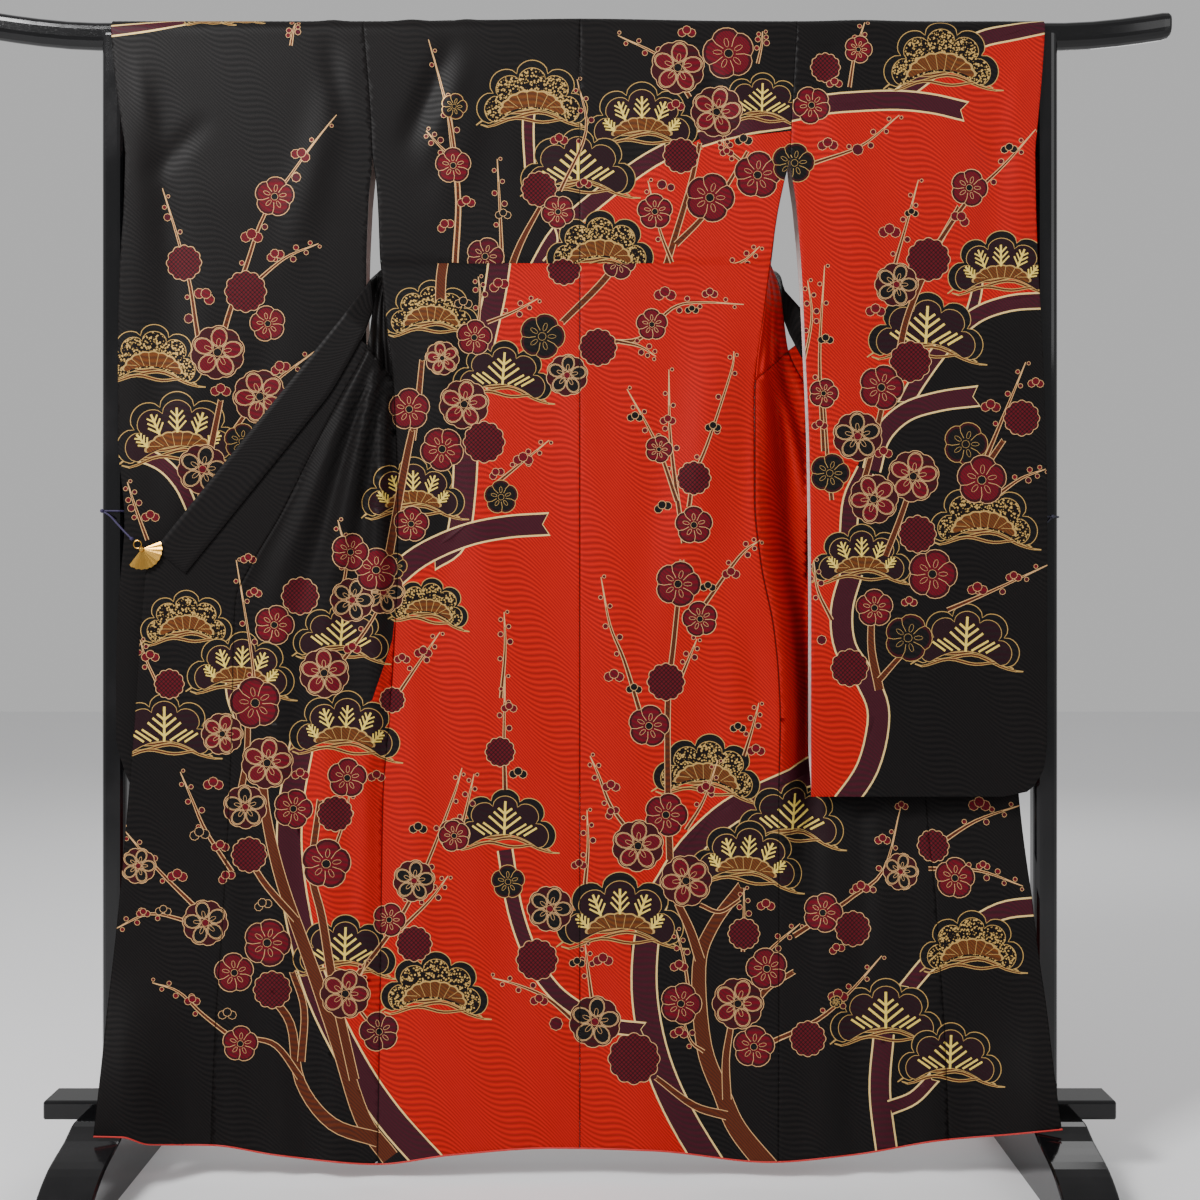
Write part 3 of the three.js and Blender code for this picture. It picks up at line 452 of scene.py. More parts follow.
def lay_sleeve(x, s):
    """A sleeve is one strip: up its front, over the bar at RIDGE and down its rear."""
    rear = s > RIDGE
    z = np.where(rear, 2 * RIDGE - s, s)
    fold = creases("sleeve", np.abs(x), np.where(rear, z - 60, z)) * smooth((z - 560) / 80)
    y = np.where(rear, sleeve_rear_y(x, z), sleeve_front_y(x, z))
    return drape(x, z, y - fold * np.where(rear, -0.8, 1) * smooth((645 - np.abs(x)) / 40))


# Paints of the print: colour, share of gold leaf, and the figure drawn inside (1 tied dots, 2 brocade)

DYE = 0.78


def linear(red, green, blue):
    """A colour as it looks on screen under the studio light, 0 to 255, as a linear dye."""
    parts = np.array([red, green, blue]) / 255
    return tuple(DYE * np.where(parts <= 0.04045, parts / 12.92, ((parts + 0.055) / 1.055) ** 2.4))


PAINTS = {
    "black": (linear(9, 8, 9), 0, 0),
    "red": (linear(214, 14, 3), 0, 0),
    "ink": (linear(12, 12, 14), 0, 0),
    "plum": (linear(40, 12, 22), 0, 0),
    "maroon": (linear(66, 6, 18), 0, 0),
    "crimson": (linear(116, 4, 28), 0, 0),
    "wine": (linear(88, 4, 28), 0, 0),
    "bark": (linear(102, 44, 19), 0, 0),
    "fan": (linear(118, 64, 24), 0, 0),
    "line": (linear(226, 178, 122), 0.3, 0),
    "gold": (linear(206, 166, 98), 0.6, 0),
    "pale": (linear(255, 222, 104), 0.2, 0),
    "cream": (linear(250, 214, 140), 0.3, 0),
    "tied": (linear(36, 5, 13), 0, 1),
    "brocade": (linear(20, 12, 12), 0.1, 2),
    "trunk": (linear(74, 18, 34), 0, 0),
}
PAINT_NAMES = list(PAINTS)


# Outlines, as arrays of points that run anticlockwise

def ring(count, radius=1.0, centre=(0, 0), stretch=1.0, turn=0.0):
    """A circle, or an ellipse stretched along its turn."""
    a = np.arange(count) * 2 * np.pi / count
    points = np.stack([radius * stretch * np.cos(a), radius * np.sin(a)], axis=-1)
    return turned(points, turn) + centre


def turned(points, angle):
    """Points turned anticlockwise about the origin, in radians."""
    c, s = math.cos(angle), math.sin(angle)
    return np.asarray(points) @ np.array([[c, s], [-s, c]])


def lobed(count, deep, steps, power=0.6):
    """Round lobes about a centre: radius 1 at each lobe's middle and 1 - deep between them."""
    a = np.arange(count * steps) * 2 * np.pi / (count * steps)
    r = 1 - deep + deep * np.abs(np.cos(count * a / 2)) ** power
    return np.stack([r * np.cos(a), r * np.sin(a)], axis=-1)


def out_at(reach, angle):
    """The point at a distance and an angle from the middle."""
    return turned([[reach, 0]], angle)[0]


def moved(shapes, centre, turn=0.0):
    return [(turned(points, turn) + centre, paint) for points, paint in shapes]


def normals_along(points):
    """Unit arrows to the left of a line's run."""
    run = np.gradient(points, axis=0)
    run /= np.maximum(np.hypot(run[:, 0], run[:, 1]), 1e-9)[:, None]
    return np.stack([-run[:, 1], run[:, 0]], axis=-1)


def stroke(points, width):
    """The outline of a line with a width at each point."""
    points = np.asarray(points, dtype=float)
    half = np.broadcast_to(np.asarray(width, dtype=float) / 2, (len(points),))[:, None]
    side = normals_along(points) * half
    return np.concatenate([points - side, (points + side)[::-1]])


def curve_through(points, steps=5):
    """A smooth line through given points."""
    points = np.asarray(points, dtype=float)
    if len(points) < 3:
        return mix(points[0], points[-1], np.linspace(0, 1, steps + 1)[:, None])
    padded = np.concatenate([[2 * points[0] - points[1]], points, [2 * points[-1] - points[-2]]])
    t = np.linspace(0, 1, steps, endpoint=False)[:, None]
    parts = []
    for a, b, c, d in zip(padded, padded[1:], padded[2:], padded[3:]):
        parts.append(0.5 * (2 * b + (c - a) * t + (2 * a - 5 * b + 4 * c - d) * t ** 2
                            + (3 * b - a - 3 * c + d) * t ** 3))
    return np.concatenate(parts + [points[-1:]])


# Motifs: lists of (outline, paint) about the origin, laid in order. Line widths are in millimetres

LINE = 1.05
PETALS = 5
PETAL_ANGLES = 2 * np.pi * np.arange(PETALS) / PETALS
PETAL_SEAM = np.array([(0.28, 0), (0.6, 0.05), (0.86, 0)])
PETAL_EDGES = ((0.9, 1.26, "line"), (0.2, 1.26, "ink"), (-0.3, 1.24, "line"))


def edged(form, size, outside, inside, edge, fill):
    """A form of radius 1 at a size: its edge, that many lines outside and inside it, and its fill."""
    return [(form * (size + LINE * outside), edge), (form * (size - LINE * inside), fill)]


def blossom(size, petal, outer="line"):
    """A plum blossom of joined round petals, with lines between them and a loop in each."""
    shapes = edged(lobed(PETALS, 0.14, 6), size, 0.5, 0.5, outer, "maroon")
    shapes.append((lobed(PETALS, 0.2, 6) * size * 0.88, petal))
    for middle in PETAL_ANGLES:
        seam = turned(PETAL_SEAM * size, middle + np.pi / PETALS)
        shapes.append((stroke(seam, LINE * 0.75), outer))
        shapes += loop(size, middle, petal, outer)
    return shapes + heart_of(size, "ink", outer)


def loop(size, angle, petal, outer):
    """A stamen drawn as a narrow loop."""
    centre = out_at(0.43 * size, angle)
    return [
        (ring(8, 0.085 * size + LINE * 0.3, centre, 2.0, angle), outer),
        (ring(8, 0.085 * size - LINE * 0.25, centre, 2.3, angle), petal),
    ]


def heart_of(size, heart, outer):
    return [(ring(9, 0.17 * size + LINE * 0.4), outer), (ring(9, 0.17 * size - LINE * 0.1), heart)]


def double_blossom(size, petal, heart="ink"):
    """A blossom of five parted petals, each with a double edge, over a fuller one."""
    shapes = edged(lobed(2 * PETALS, 0.07, 4), size, 0.5, 0.5, "line", "maroon")
    for middle in PETAL_ANGLES:
        centre = out_at(0.56 * size, middle)
        for lines, stretch, paint in (*PETAL_EDGES, (-0.9, 1.22, petal)):
            shapes.append((ring(12, 0.285 * size + LINE * lines, centre, stretch, middle), paint))
        shapes += loop(size * 0.86, middle, petal, "line")
    return shapes + heart_of(size * 0.9, heart, "line")


def tied_blossom(size):
    """A round blossom filled with small tied dots."""
    return edged(lobed(12, 0.11, 7, power=0.8), size, 0.6, 0.4, "line", "tied")


def bud(size, petal):
    return [(ring(8, size), "line"), (ring(8, size - LINE * 0.7), petal)]


def buds(size, petal):
    """Three round buds on one stalk."""
    shapes = []
    for angle in (0.5, 2.6, 1.57):
        shapes += moved(bud(size * 0.5, petal), out_at(size * 0.62, angle))
    return shapes


CLOUD_DROOP = 0.2


def cloud(width, height, grow):
    """A pine clump's outline, grown all round: five lobes above, the outer two hanging, an arch below."""
    a = np.linspace(-CLOUD_DROOP, np.pi + CLOUD_DROOP, 61)
    lobes = 5 * (a + CLOUD_DROOP) / (np.pi + 2 * CLOUD_DROOP)
    r = 0.8 + 0.2 * np.abs(np.sin(np.pi * lobes)) ** 0.6
    top = np.stack([width * r * np.cos(a), height * r * np.sin(a)], axis=-1)
    x = np.linspace(top[-1, 0] + 0.04 * width, top[0, 0] - 0.04 * width, 14)
    foot = np.stack([x, height * (0.12 - 0.4 * (x / (0.9 * width)) ** 2)], axis=-1)
    outline = np.concatenate([top, foot])
    nearer = np.roll(outline, -1, axis=0) - np.roll(outline, 1, axis=0)
    nearer /= np.maximum(np.hypot(nearer[:, 0], nearer[:, 1]), 1e-9)[:, None]
    return outline + grow * np.stack([nearer[:, 1], -nearer[:, 0]], axis=-1)


# Needles as shares of a clump: height and reach up the tall sprig, place and reach beside it
FIR_NEEDLES = ((0.56, 0.15), (0.4, 0.24), (0.22, 0.34))
STANDING_NEEDLES = ((0.12, 0.34), (0.27, 0.32), (0.42, 0.27))
SPRIG_PAIRS = 3


def sprig(base, angle, length, width):
    """A stem with needles in pairs, all pointing up it and shorter towards its tip."""
    def out(points):
        return turned(points, angle) + base
    shapes = [(stroke(out([(0, 0), (length, 0)]), width), "pale")]
    for k in range(SPRIG_PAIRS):
        start = length * (0.08 + 0.27 * k)
        needle = length * 0.5 * (1 - 0.16 * k)
        for side in (-1, 1):
            tip = (start + needle * 0.78, side * needle * 0.72)
            shapes.append((stroke(out([(start, 0), tip]), width * 0.74), "pale"))
    return shapes


def needle_row(width, height):
    """One tall sprig like a fir, with more needles standing in a row on both sides of it."""
    thick = 0.05 * width
    shapes = [(stroke([(0, 0.1 * height), (0, 0.84 * height)], thick), "pale")]
    for low, reach in FIR_NEEDLES:
        for side in (-1, 1):
            tip = (side * reach * width, low * height + reach * width * 0.82)
            shapes.append((stroke([(0, low * height), tip], thick * 0.9), "pale"))
    for start, reach in STANDING_NEEDLES:
        for side in (-1, 1):
            foot = (side * start * width, (0.14 - 0.1 * start) * height)
            tip = (side * (start + reach) * width, foot[1] + reach * width * 0.66)
            shapes.append((stroke([foot, tip], thick * 0.85), "pale"))
    return shapes


FAN_RAYS = 9


def fan_base(width, height):
    """A low fan of rounded rays at the foot of a clump."""
    a = np.linspace(0.06, np.pi - 0.06, 55)
    r = 1 + 0.06 * np.abs(np.sin(FAN_RAYS * a))
    arc = np.stack([np.cos(a) * r * 0.56 * width, np.sin(a) * r * 0.42 * height], axis=-1)
    x = np.linspace(-0.53 * width, 0.53 * width, 9)
    foot = np.stack([x, 0.15 * height - 0.14 * height * (x / (0.53 * width)) ** 2], axis=-1)
    closed = np.concatenate([arc, foot])
    shapes = [(closed * 1.04, "gold"), (closed * 0.97, "fan")]
    for k in range(1, FAN_RAYS):
        angle = np.pi * k / FAN_RAYS
        across = 0.55 * width * math.cos(angle)
        line = [(across * 0.62, 0.14 * height), (across, 0.41 * height * math.sin(angle))]
        shapes.append((stroke(line, LINE * 0.7), "gold"))
    return shapes


# The drop, left end, right end and ripple of each bough, and the angle, start and length of each sprig
BOUGHS = ((0.0, -1.0, 0.9, 0.0), (0.1, -0.86, 1.08, 2.1), (0.19, -0.92, 0.8, 4.0))
SPRIGS = ((90, 0.36, 0.4), (48, 0.44, 0.36), (132, 0.44, 0.36), (12, 0.5, 0.28), (168, 0.5, 0.28))


def root_lines(width, height):
    """Braided boughs under a clump: sagging, rippled arches that run out as thin twigs."""
    shapes = []
    t = np.linspace(0, 1, 15)
    rise = np.sin(np.pi * t)
    thick = 0.4 + 2.8 * rise ** 0.6
    for drop, left, right, ripple in BOUGHS:
        x = width * mix(left, right, t)
        sag = drop * rise ** 0.5
        z = height * (0.1 - sag - 0.3 * (x / width) ** 2 + 0.045 * np.sin(11 * t + ripple))
        path = np.stack([x, z], axis=-1)
        shapes.append((stroke(path, thick + 1.3), "gold"))
        shapes.append((stroke(path[1:-1], thick[1:-1] * 0.7), "bark"))
    return shapes


def pine(size, kind):
    """A pine clump: many sprigs, one big sprig, or a brocade filling."""
    height = size * 0.98
    shapes = root_lines(size, height)
    shapes += [(cloud(size, height, LINE * 0.5), "gold"), (cloud(size, height, -LINE * 0.6), "ink")]
    inner = (size * 0.86, height * 0.86)
    shapes += [(cloud(*inner, LINE * 0.4), "gold")]
    if kind == "brocade":
        shapes.append((cloud(*inner, -LINE * 0.5), "brocade"))
        return shapes + fan_base(size, height)
    shapes.append((cloud(*inner, -LINE * 0.5), "plum"))
    if kind == "needles":
        return shapes + needle_row(size * 0.9, height * 0.9)
    shapes += fan_base(size * 0.9, height * 0.78)
    for angle, start, length in SPRIGS:
        a = math.radians(angle)
        base = (start * size * math.cos(a), start * height * math.sin(a) * 0.9)
        lean = (a + math.pi / 2) / 2
        shapes += sprig(base, lean, length * size, 0.036 * size)
    return shapes


FLOWERS = {
    "crimson": lambda size: blossom(size, "crimson"),
    "wine": lambda size: blossom(size, "wine"),
    "black": lambda size: blossom(size, "ink", "gold"),
    "double": lambda size: double_blossom(size, "crimson"),
    "double black": lambda size: double_blossom(size, "ink", "crimson"),
    "tied": tied_blossom,
    "buds": lambda size: buds(size, "crimson"),
    "black buds": lambda size: buds(size, "ink"),
    "bud": lambda size: bud(size, "wine"),
}


def band(points, start, end, edge_width, fill="trunk", edge_paint="cream"):
    """A trunk or bough between gold edges, from one width to another, notched at its far end."""
    path = curve_through(points)
    width = np.linspace(start, end, len(path))
    onward = path[-1] - path[-2]
    onward = onward / np.hypot(*onward)
    longer = np.concatenate([path[:-1], [path[-1] + onward * edge_width]])
    return [
        (notched(longer, width + 2 * edge_width, onward), edge_paint),
        (notched(path, width, onward), fill),
    ]


def notched(path, width, onward):
    """A band's outline with a shallow notch in its far end."""
    outline = stroke(path, width)
    notch = path[-1] - onward * width[-1] * 0.3
    return np.insert(outline, len(path), notch, axis=0)


BUD_PLACES = table("share side size", [
    (0.42, 1, 3.8), (0.55, -1, 4.6), (0.66, 1, 4.2), (0.76, -1, 3.6), (0.86, 1, 3.4),
    (0.95, -1, 2.8),
])


def twig(points, start):
    """A brown twig between gold edges that runs out to a point, with round buds on both sides."""
    path = curve_through(points)
    t = np.linspace(0, 1, len(path))
    shapes = [(stroke(path, 1.2 + (start + 1.8) * (1 - t) ** 0.8), "line")]
    inside = t < 0.86
    shapes.append((stroke(path[inside], start * (1 - t[inside] / 0.9) ** 0.8 + 0.3), "bark"))
    normals = normals_along(path)
    for share, side, size in zip(*BUD_PLACES.values()):
        at = min(len(path) - 1, int(share * len(path)))
        centre = path[at] + normals[at] * side * (size + 1.6 + start * (1 - share) / 2)
        shapes += moved(bud(size, "crimson" if side > 0 else "wine"), centre)
    return shapes


# The print's layout, in the picture's pixels: a ground as its outline, a trunk or bough as a line with its
# first and last widths, a twig as a line with its width in millimetres at its foot, a pine or flower as a
# kind, its middle, half its width and, where it isn't upright, its turn in degrees

PICTURE_MIDDLE = 600
PIXEL = 1.411


def from_picture(points):
    """Places on the plane of the cloth for places in the picture."""
    points = np.asarray(points, dtype=float)
    x = EYE_X + (points[..., 0] - PICTURE_MIDDLE) * PIXEL
    return np.stack([x, EYE_Z - (points[..., 1] - PICTURE_MIDDLE) * PIXEL], axis=-1)


def placed(shapes, across, down, turn=0.0):
    return moved(shapes, from_picture((across, down)), math.radians(turn))


PRINT = {}
PRINT["left sleeve"] = {
    "trunks": [
        ([(104, 30), (150, 24), (190, 16)], 9, 8),
        ([(118, 448), (157, 461), (180, 484), (196, 520)], 14, 9),
    ],
    "boughs": [
        ([(196, 520), (206, 470), (220, 400)], 7, 4),
    ],
    "twigs": [
        ([(212, 378), (227, 318), (246, 264), (264, 214), (300, 161), (336, 114)], 6),
        ([(203, 372), (195, 321), (188, 279), (175, 232), (161, 187)], 5),
        ([(252, 284), (284, 258), (318, 243)], 3), ([(226, 440), (262, 392), (318, 348)], 5),
        ([(147, 540), (136, 510), (127, 482)], 3), ([(290, 44), (294, 20)], 2),
    ],
    "pines": [
        ("brocade", 207, 6, 26), ("brocade", 240, 6, 22), ("brocade", 152, 352, 50, -3),
        ("sprigs", 178, 426, 62, 2),
    ],
    "flowers": [
        ("crimson", 274, 196, 20, 10), ("buds", 299, 158, 10, -20), ("bud", 296, 177, 5),
        ("buds", 251, 240, 11), ("tied", 245, 291, 21), ("tied", 183, 262, 18),
        ("buds", 202, 299, 11, -30), ("crimson", 267, 323, 18, 30), ("buds", 276, 258, 9, 20),
        ("double", 217, 352, 27, 12), ("double", 259, 396, 27, 40), ("buds", 220, 394, 10),
        ("buds", 281, 371, 10, 20), ("black", 241, 441, 18, 10), ("double black", 202, 469, 25, 5),
        ("buds", 150, 520, 9), ("bud", 166, 216, 4), ("bud", 188, 318, 5), ("bud", 131, 508, 4),
    ],
}
PRINT["upper back"] = {
    "red": [
        (524, 300), (545, 262), (566, 232), (604, 200), (642, 172), (668, 156), (700, 138),
        (790, 130), (860, 106), (860, 300),
    ],
    "trunks": [
        ([(530, 96), (528, 128), (530, 172)], 10, 8),
        ([(536, 272), (560, 232), (600, 196), (640, 166), (668, 150)], 16, 14),
        ([(545, 262), (560, 240), (548, 205)], 3, 3),
        ([(700, 138), (740, 126), (790, 118), (850, 104)], 14, 16),
    ],
    "boughs": [
        ([(506, 282), (520, 244), (540, 206)], 7, 3),
        ([(662, 280), (674, 240), (690, 186), (700, 142)], 6, 3),
        ([(676, 244), (700, 220), (724, 190), (748, 150)], 5, 2),
        ([(455, 262), (458, 200), (452, 140), (448, 106)], 5, 3),
    ],
    "twigs": [
        ([(455, 262), (458, 200), (453, 140), (444, 96), (428, 38)], 5),
        ([(502, 262), (500, 214), (497, 158)], 3), ([(456, 160), (440, 146), (426, 130)], 2),
        ([(672, 262), (660, 230), (648, 180)], 3), ([(560, 190), (586, 130), (577, 78)], 3),
        ([(690, 96), (664, 58), (618, 34)], 4), ([(758, 62), (762, 44), (763, 30)], 2),
        ([(762, 176), (730, 150), (722, 138)], 3), ([(805, 159), (836, 152), (862, 142)], 3),
        ([(700, 268), (740, 262), (760, 246)], 2),
    ],
    "pines": [
        ("brocade", 532, 90, 56), ("sprigs", 642, 112, 56), ("needles", 762, 96, 44, -2),
        ("needles", 578, 160, 58), ("brocade", 600, 240, 54),
    ],
    "flowers": [
        ("crimson", 453, 165, 18, 20), ("buds", 466, 205, 9), ("black", 454, 106, 13),
        ("buds", 447, 228, 9, 30), ("wine", 485, 256, 19), ("double", 678, 66, 27, 12),
        ("crimson", 729, 52, 26, 30), ("double", 717, 110, 26, 5), ("crimson", 812, 104, 18, 44),
        ("tied", 827, 66, 14), ("crimson", 758, 174, 24, 12), ("black", 792, 162, 20, 6),
        ("crimson", 710, 197, 25), ("tied", 681, 155, 18), ("crimson", 655, 211, 18, 20),
        ("tied", 539, 188, 18), ("crimson", 558, 211, 17, 50), ("buds", 687, 34, 9),
        ("buds", 584, 186, 8), ("black buds", 503, 217, 8), ("buds", 559, 142, 9),
        ("buds", 676, 108, 9), ("black buds", 744, 142, 9), ("buds", 727, 154, 7),
        ("buds", 832, 148, 9), ("tied", 563, 274, 16), ("bud", 662, 184, 5), ("bud", 671, 187, 4),
    ],
}
PRINT["lower"] = {
    "red": [
        (510, 256), (498, 300), (484, 345), (478, 400), (474, 440), (474, 520), (440, 545),
        (400, 568), (392, 640), (372, 700), (314, 740), (300, 800), (299, 840), (303, 891),
        (326, 979), (366, 1066), (404, 1116), (446, 1158), (462, 1210), (712, 1210), (687, 1155),
        (651, 1082), (634, 1031), (631, 945), (663, 871), (711, 817), (741, 798), (812, 776),
        (816, 256),
    ],
    "trunks": [
        ([(500, 256), (494, 296), (484, 340), (476, 386)], 20, 20),
        ([(466, 440), (464, 490), (456, 540), (430, 560)], 22, 20),
        ([(386, 584), (420, 556), (464, 536), (506, 527), (548, 524)], 20, 20),
        ([(822, 772), (776, 790), (730, 812), (690, 848), (662, 890)], 26, 20),
        ([(656, 900), (646, 945), (645, 1000), (657, 1060), (682, 1118), (726, 1190)], 22, 26),
        ([(505, 850), (515, 910), (533, 960), (555, 992), (584, 1014)], 13, 13),
        ([(584, 1014), (612, 1026), (644, 1030)], 12, 12),
        ([(302, 742), (290, 812), (292, 880), (312, 975), (350, 1058), (388, 1116), (436, 1170)], 22, 26),
        ([(1042, 906), (1000, 912), (960, 936), (930, 962), (906, 990)], 16, 14),
        ([(884, 1034), (880, 1092), (888, 1160)], 18, 19),
        ([(890, 1108), (914, 1098), (934, 1078)], 12, 10),
        ([(236, 652), (232, 690), (240, 720)], 12, 9),
    ],
    "boughs": [
        ([(772, 1172), (738, 1130), (722, 1094), (704, 1046), (699, 968), (712, 928), (742, 886)], 20, 9),
        ([(700, 960), (690, 930), (678, 904)], 9, 6),
        ([(727, 1116), (694, 1106), (656, 1078)], 8, 4),
        ([(727, 1100), (726, 1060), (731, 1026)], 8, 5),
        ([(745, 1020), (766, 990), (794, 972)], 6, 4),
        ([(670, 860), (668, 796), (668, 700), (674, 640), (682, 560)], 6, 3),
        ([(618, 262), (599, 285), (562, 322)], 6, 5),
        ([(444, 256), (441, 276), (440, 300)], 9, 9),
        ([(412, 440), (418, 400), (422, 360)], 6, 4),
        ([(384, 580), (404, 470), (412, 430)], 8, 5),
        ([(390, 1158), (362, 1118), (338, 1044), (312, 968), (282, 884), (266, 816), (262, 770)], 17, 7),
        ([(378, 1140), (332, 1124), (300, 1082), (290, 1024), (266, 992)], 14, 5),
        ([(301, 1062), (304, 1010), (292, 972)], 7, 5),
        ([(354, 1080), (334, 990), (322, 918), (312, 870), (320, 800)], 9, 5),
        ([(296, 920), (262, 880), (240, 840)], 6, 4),
        ([(234, 820), (246, 760), (248, 700)], 6, 4),
        ([(300, 1078), (276, 1046), (250, 1038)], 6, 3),
        ([(700, 905), (720, 912), (740, 900)], 3, 2),
    ],
    "twigs": [
        ([(684, 543), (675, 479), (670, 428), (669, 369)], 5),
        ([(677, 501), (661, 454), (649, 428), (627, 389)], 4),
        ([(689, 507), (694, 477), (708, 442), (731, 372), (734, 351)], 4),
        ([(700, 611), (739, 557), (760, 540)], 4),
        ([(640, 712), (624, 660), (610, 625), (601, 577)], 4),
        ([(501, 698), (505, 650), (504, 612)], 3), ([(680, 680), (697, 639)], 3),
        ([(600, 341), (640, 338), (672, 308), (700, 302), (744, 304)], 4),
        ([(618, 341), (640, 346), (656, 356)], 3), ([(487, 322), (512, 312), (538, 298)], 3),
        ([(476, 344), (480, 300), (478, 276)], 2), ([(498, 482), (520, 464), (549, 440)], 3),
        ([(394, 700), (418, 664), (440, 632)], 3),
        ([(638, 842), (612, 808), (599, 776), (590, 756)], 4),
        ([(686, 830), (704, 800), (718, 760)], 3), ([(744, 756), (752, 730), (759, 703)], 3),
        ([(505, 790), (504, 740), (505, 676)], 4), ([(585, 884), (588, 848), (587, 810)], 3),
        ([(456, 850), (466, 810), (474, 774)], 3),
        ([(577, 1024), (548, 999), (520, 986), (492, 978)], 4),
        ([(592, 1000), (588, 970), (585, 944)], 3), ([(743, 952), (744, 920), (744, 888)], 3),
        ([(690, 1000), (684, 960), (676, 930)], 3), ([(704, 1052), (690, 1040), (680, 1006)], 3),
        ([(794, 936), (846, 902), (884, 872), (906, 808)], 5),
        ([(936, 850), (980, 824), (1028, 808)], 4), ([(930, 870), (980, 872), (1024, 887)], 3),
        ([(768, 1044), (818, 1020), (852, 990), (882, 956)], 5),
        ([(756, 972), (770, 950), (800, 924)], 4),
        ([(232, 872), (206, 832), (192, 800), (180, 772)], 4),
        ([(196, 908), (158, 870), (122, 828)], 4), ([(190, 922), (150, 914), (113, 930)], 3),
        ([(240, 1044), (204, 1016), (178, 992), (152, 983)], 4),
        ([(330, 860), (344, 820), (352, 780)], 3),
        ([(345, 990), (392, 930), (420, 880), (452, 800), (462, 768)], 5),
        ([(400, 930), (430, 900), (448, 876)], 3), ([(374, 1030), (356, 1000), (366, 960)], 3),
        ([(256, 720), (252, 660), (236, 560)], 3), ([(330, 676), (372, 620), (396, 560)], 4),
        ([(340, 600), (346, 560), (338, 520)], 3), ([(160, 690), (146, 660), (140, 640)], 2),
    ],
    "pines": [
        ("brocade", 431, 306, 47), ("needles", 502, 368, 50, -4), ("sprigs", 413, 486, 52),
        ("brocade", 428, 600, 40, -8), ("needles", 340, 630, 48, -4), ("brocade", 186, 616, 46),
        ("sprigs", 240, 662, 54, -4), ("needles", 164, 724, 54), ("sprigs", 344, 722, 56, -5),
        ("brocade", 706, 764, 54, -6), ("needles", 792, 812, 54, -6), ("sprigs", 746, 852, 56, -6),
        ("needles", 504, 818, 52, -2), ("sprigs", 620, 908, 64), ("needles", 344, 944, 52, -2),
        ("brocade", 434, 982, 54, -3), ("brocade", 972, 940, 52), ("needles", 886, 1010, 56),
        ("needles", 950, 1052, 52, -2),
    ],
    "flowers": [
        ("crimson", 474, 337, 18, 10), ("double", 442, 358, 17, 30), ("black", 542, 336, 23),
        ("double black", 567, 375, 21, 12), ("tied", 598, 347, 19), ("crimson", 652, 324, 16, 20),
        ("buds", 665, 298, 11), ("buds", 710, 296, 8), ("black buds", 692, 312, 7),
        ("tied", 564, 268, 17), ("wine", 619, 262, 17), ("double", 464, 404, 25, 10),
        ("crimson", 409, 409, 21, 20), ("crimson", 442, 449, 22, 50), ("tied", 484, 442, 21),
        ("crimson", 411, 524, 18, 12), ("black", 501, 497, 17, 20), ("buds", 523, 463, 10),
        ("buds", 498, 476, 8, 30), ("black buds", 463, 306, 9), ("buds", 500, 288, 10, 20),
        ("double black", 383, 592, 22), ("black", 394, 566, 13), ("buds", 423, 656, 9),
        ("tied", 392, 700, 13), ("buds", 402, 662, 8), ("crimson", 659, 449, 14),
        ("black buds", 635, 420, 8), ("buds", 668, 423, 8), ("tied", 694, 478, 17),
        ("black buds", 713, 430, 8), ("crimson", 694, 525, 19, 20), ("black buds", 664, 510, 9, 20),
        ("crimson", 678, 584, 23), ("crimson", 700, 619, 18, 30), ("buds", 731, 577, 9),
        ("black buds", 708, 590, 8), ("tied", 666, 682, 19), ("buds", 614, 680, 10),
        ("black buds", 634, 692, 8), ("crimson", 649, 726, 21, 8), ("crimson", 666, 815, 22),
        ("double", 638, 846, 26, 14), ("double", 686, 881, 26, 40), ("buds", 611, 790, 9),
        ("buds", 614, 815, 8, 40), ("buds", 706, 792, 9), ("black buds", 738, 731, 8),
        ("buds", 756, 754, 9), ("tied", 500, 752, 15), ("black buds", 518, 777, 9),
        ("buds", 509, 711, 8), ("crimson", 454, 834, 16), ("black", 508, 882, 17, 20),
        ("double black", 550, 909, 23), ("tied", 537, 960, 21), ("buds", 579, 868, 8),
        ("double black", 595, 1022, 26, 10), ("buds", 539, 1004, 9), ("bud", 556, 1024, 7),
        ("buds", 603, 964, 10), ("black buds", 577, 966, 8), ("tied", 634, 1059, 26),
        ("crimson", 681, 1004, 21), ("double", 738, 1004, 26), ("crimson", 767, 969, 21, 30),
        ("crimson", 754, 1047, 21, 12), ("tied", 744, 934, 16), ("buds", 679, 970, 9),
        ("buds", 679, 1037, 9), ("buds", 766, 909, 9), ("crimson", 823, 913, 20),
        ("tied", 853, 929, 18), ("double black", 902, 873, 18), ("tied", 936, 848, 16),
        ("crimson", 956, 879, 20, 10), ("tied", 808, 1039, 18), ("buds", 862, 892, 9),
        ("buds", 838, 952, 8, 20), ("buds", 885, 845, 8), ("buds", 985, 812, 11), ("buds", 906, 812, 7),
        ("buds", 985, 870, 7), ("buds", 838, 1000, 10), ("black", 836, 1002, 6),
        ("crimson", 274, 625, 20), ("double", 324, 673, 25, 20), ("tied", 169, 684, 15),
        ("crimson", 255, 703, 26, 30), ("double", 222, 734, 21), ("double", 267, 763, 26, 10),
        ("crimson", 347, 778, 20, 14), ("crimson", 293, 809, 20), ("double black", 245, 807, 22, 20),
        ("tied", 335, 814, 18), ("tied", 249, 855, 18), ("crimson", 326, 864, 25, 10),
        ("double black", 138, 866, 18), ("double black", 205, 923, 23, 30), ("crimson", 267, 943, 24),
        ("crimson", 234, 973, 20, 24), ("tied", 272, 990, 19), ("crimson", 240, 1044, 18, 12),
        ("double", 345, 994, 25), ("wine", 379, 1032, 20, 30), ("tied", 414, 944, 18),
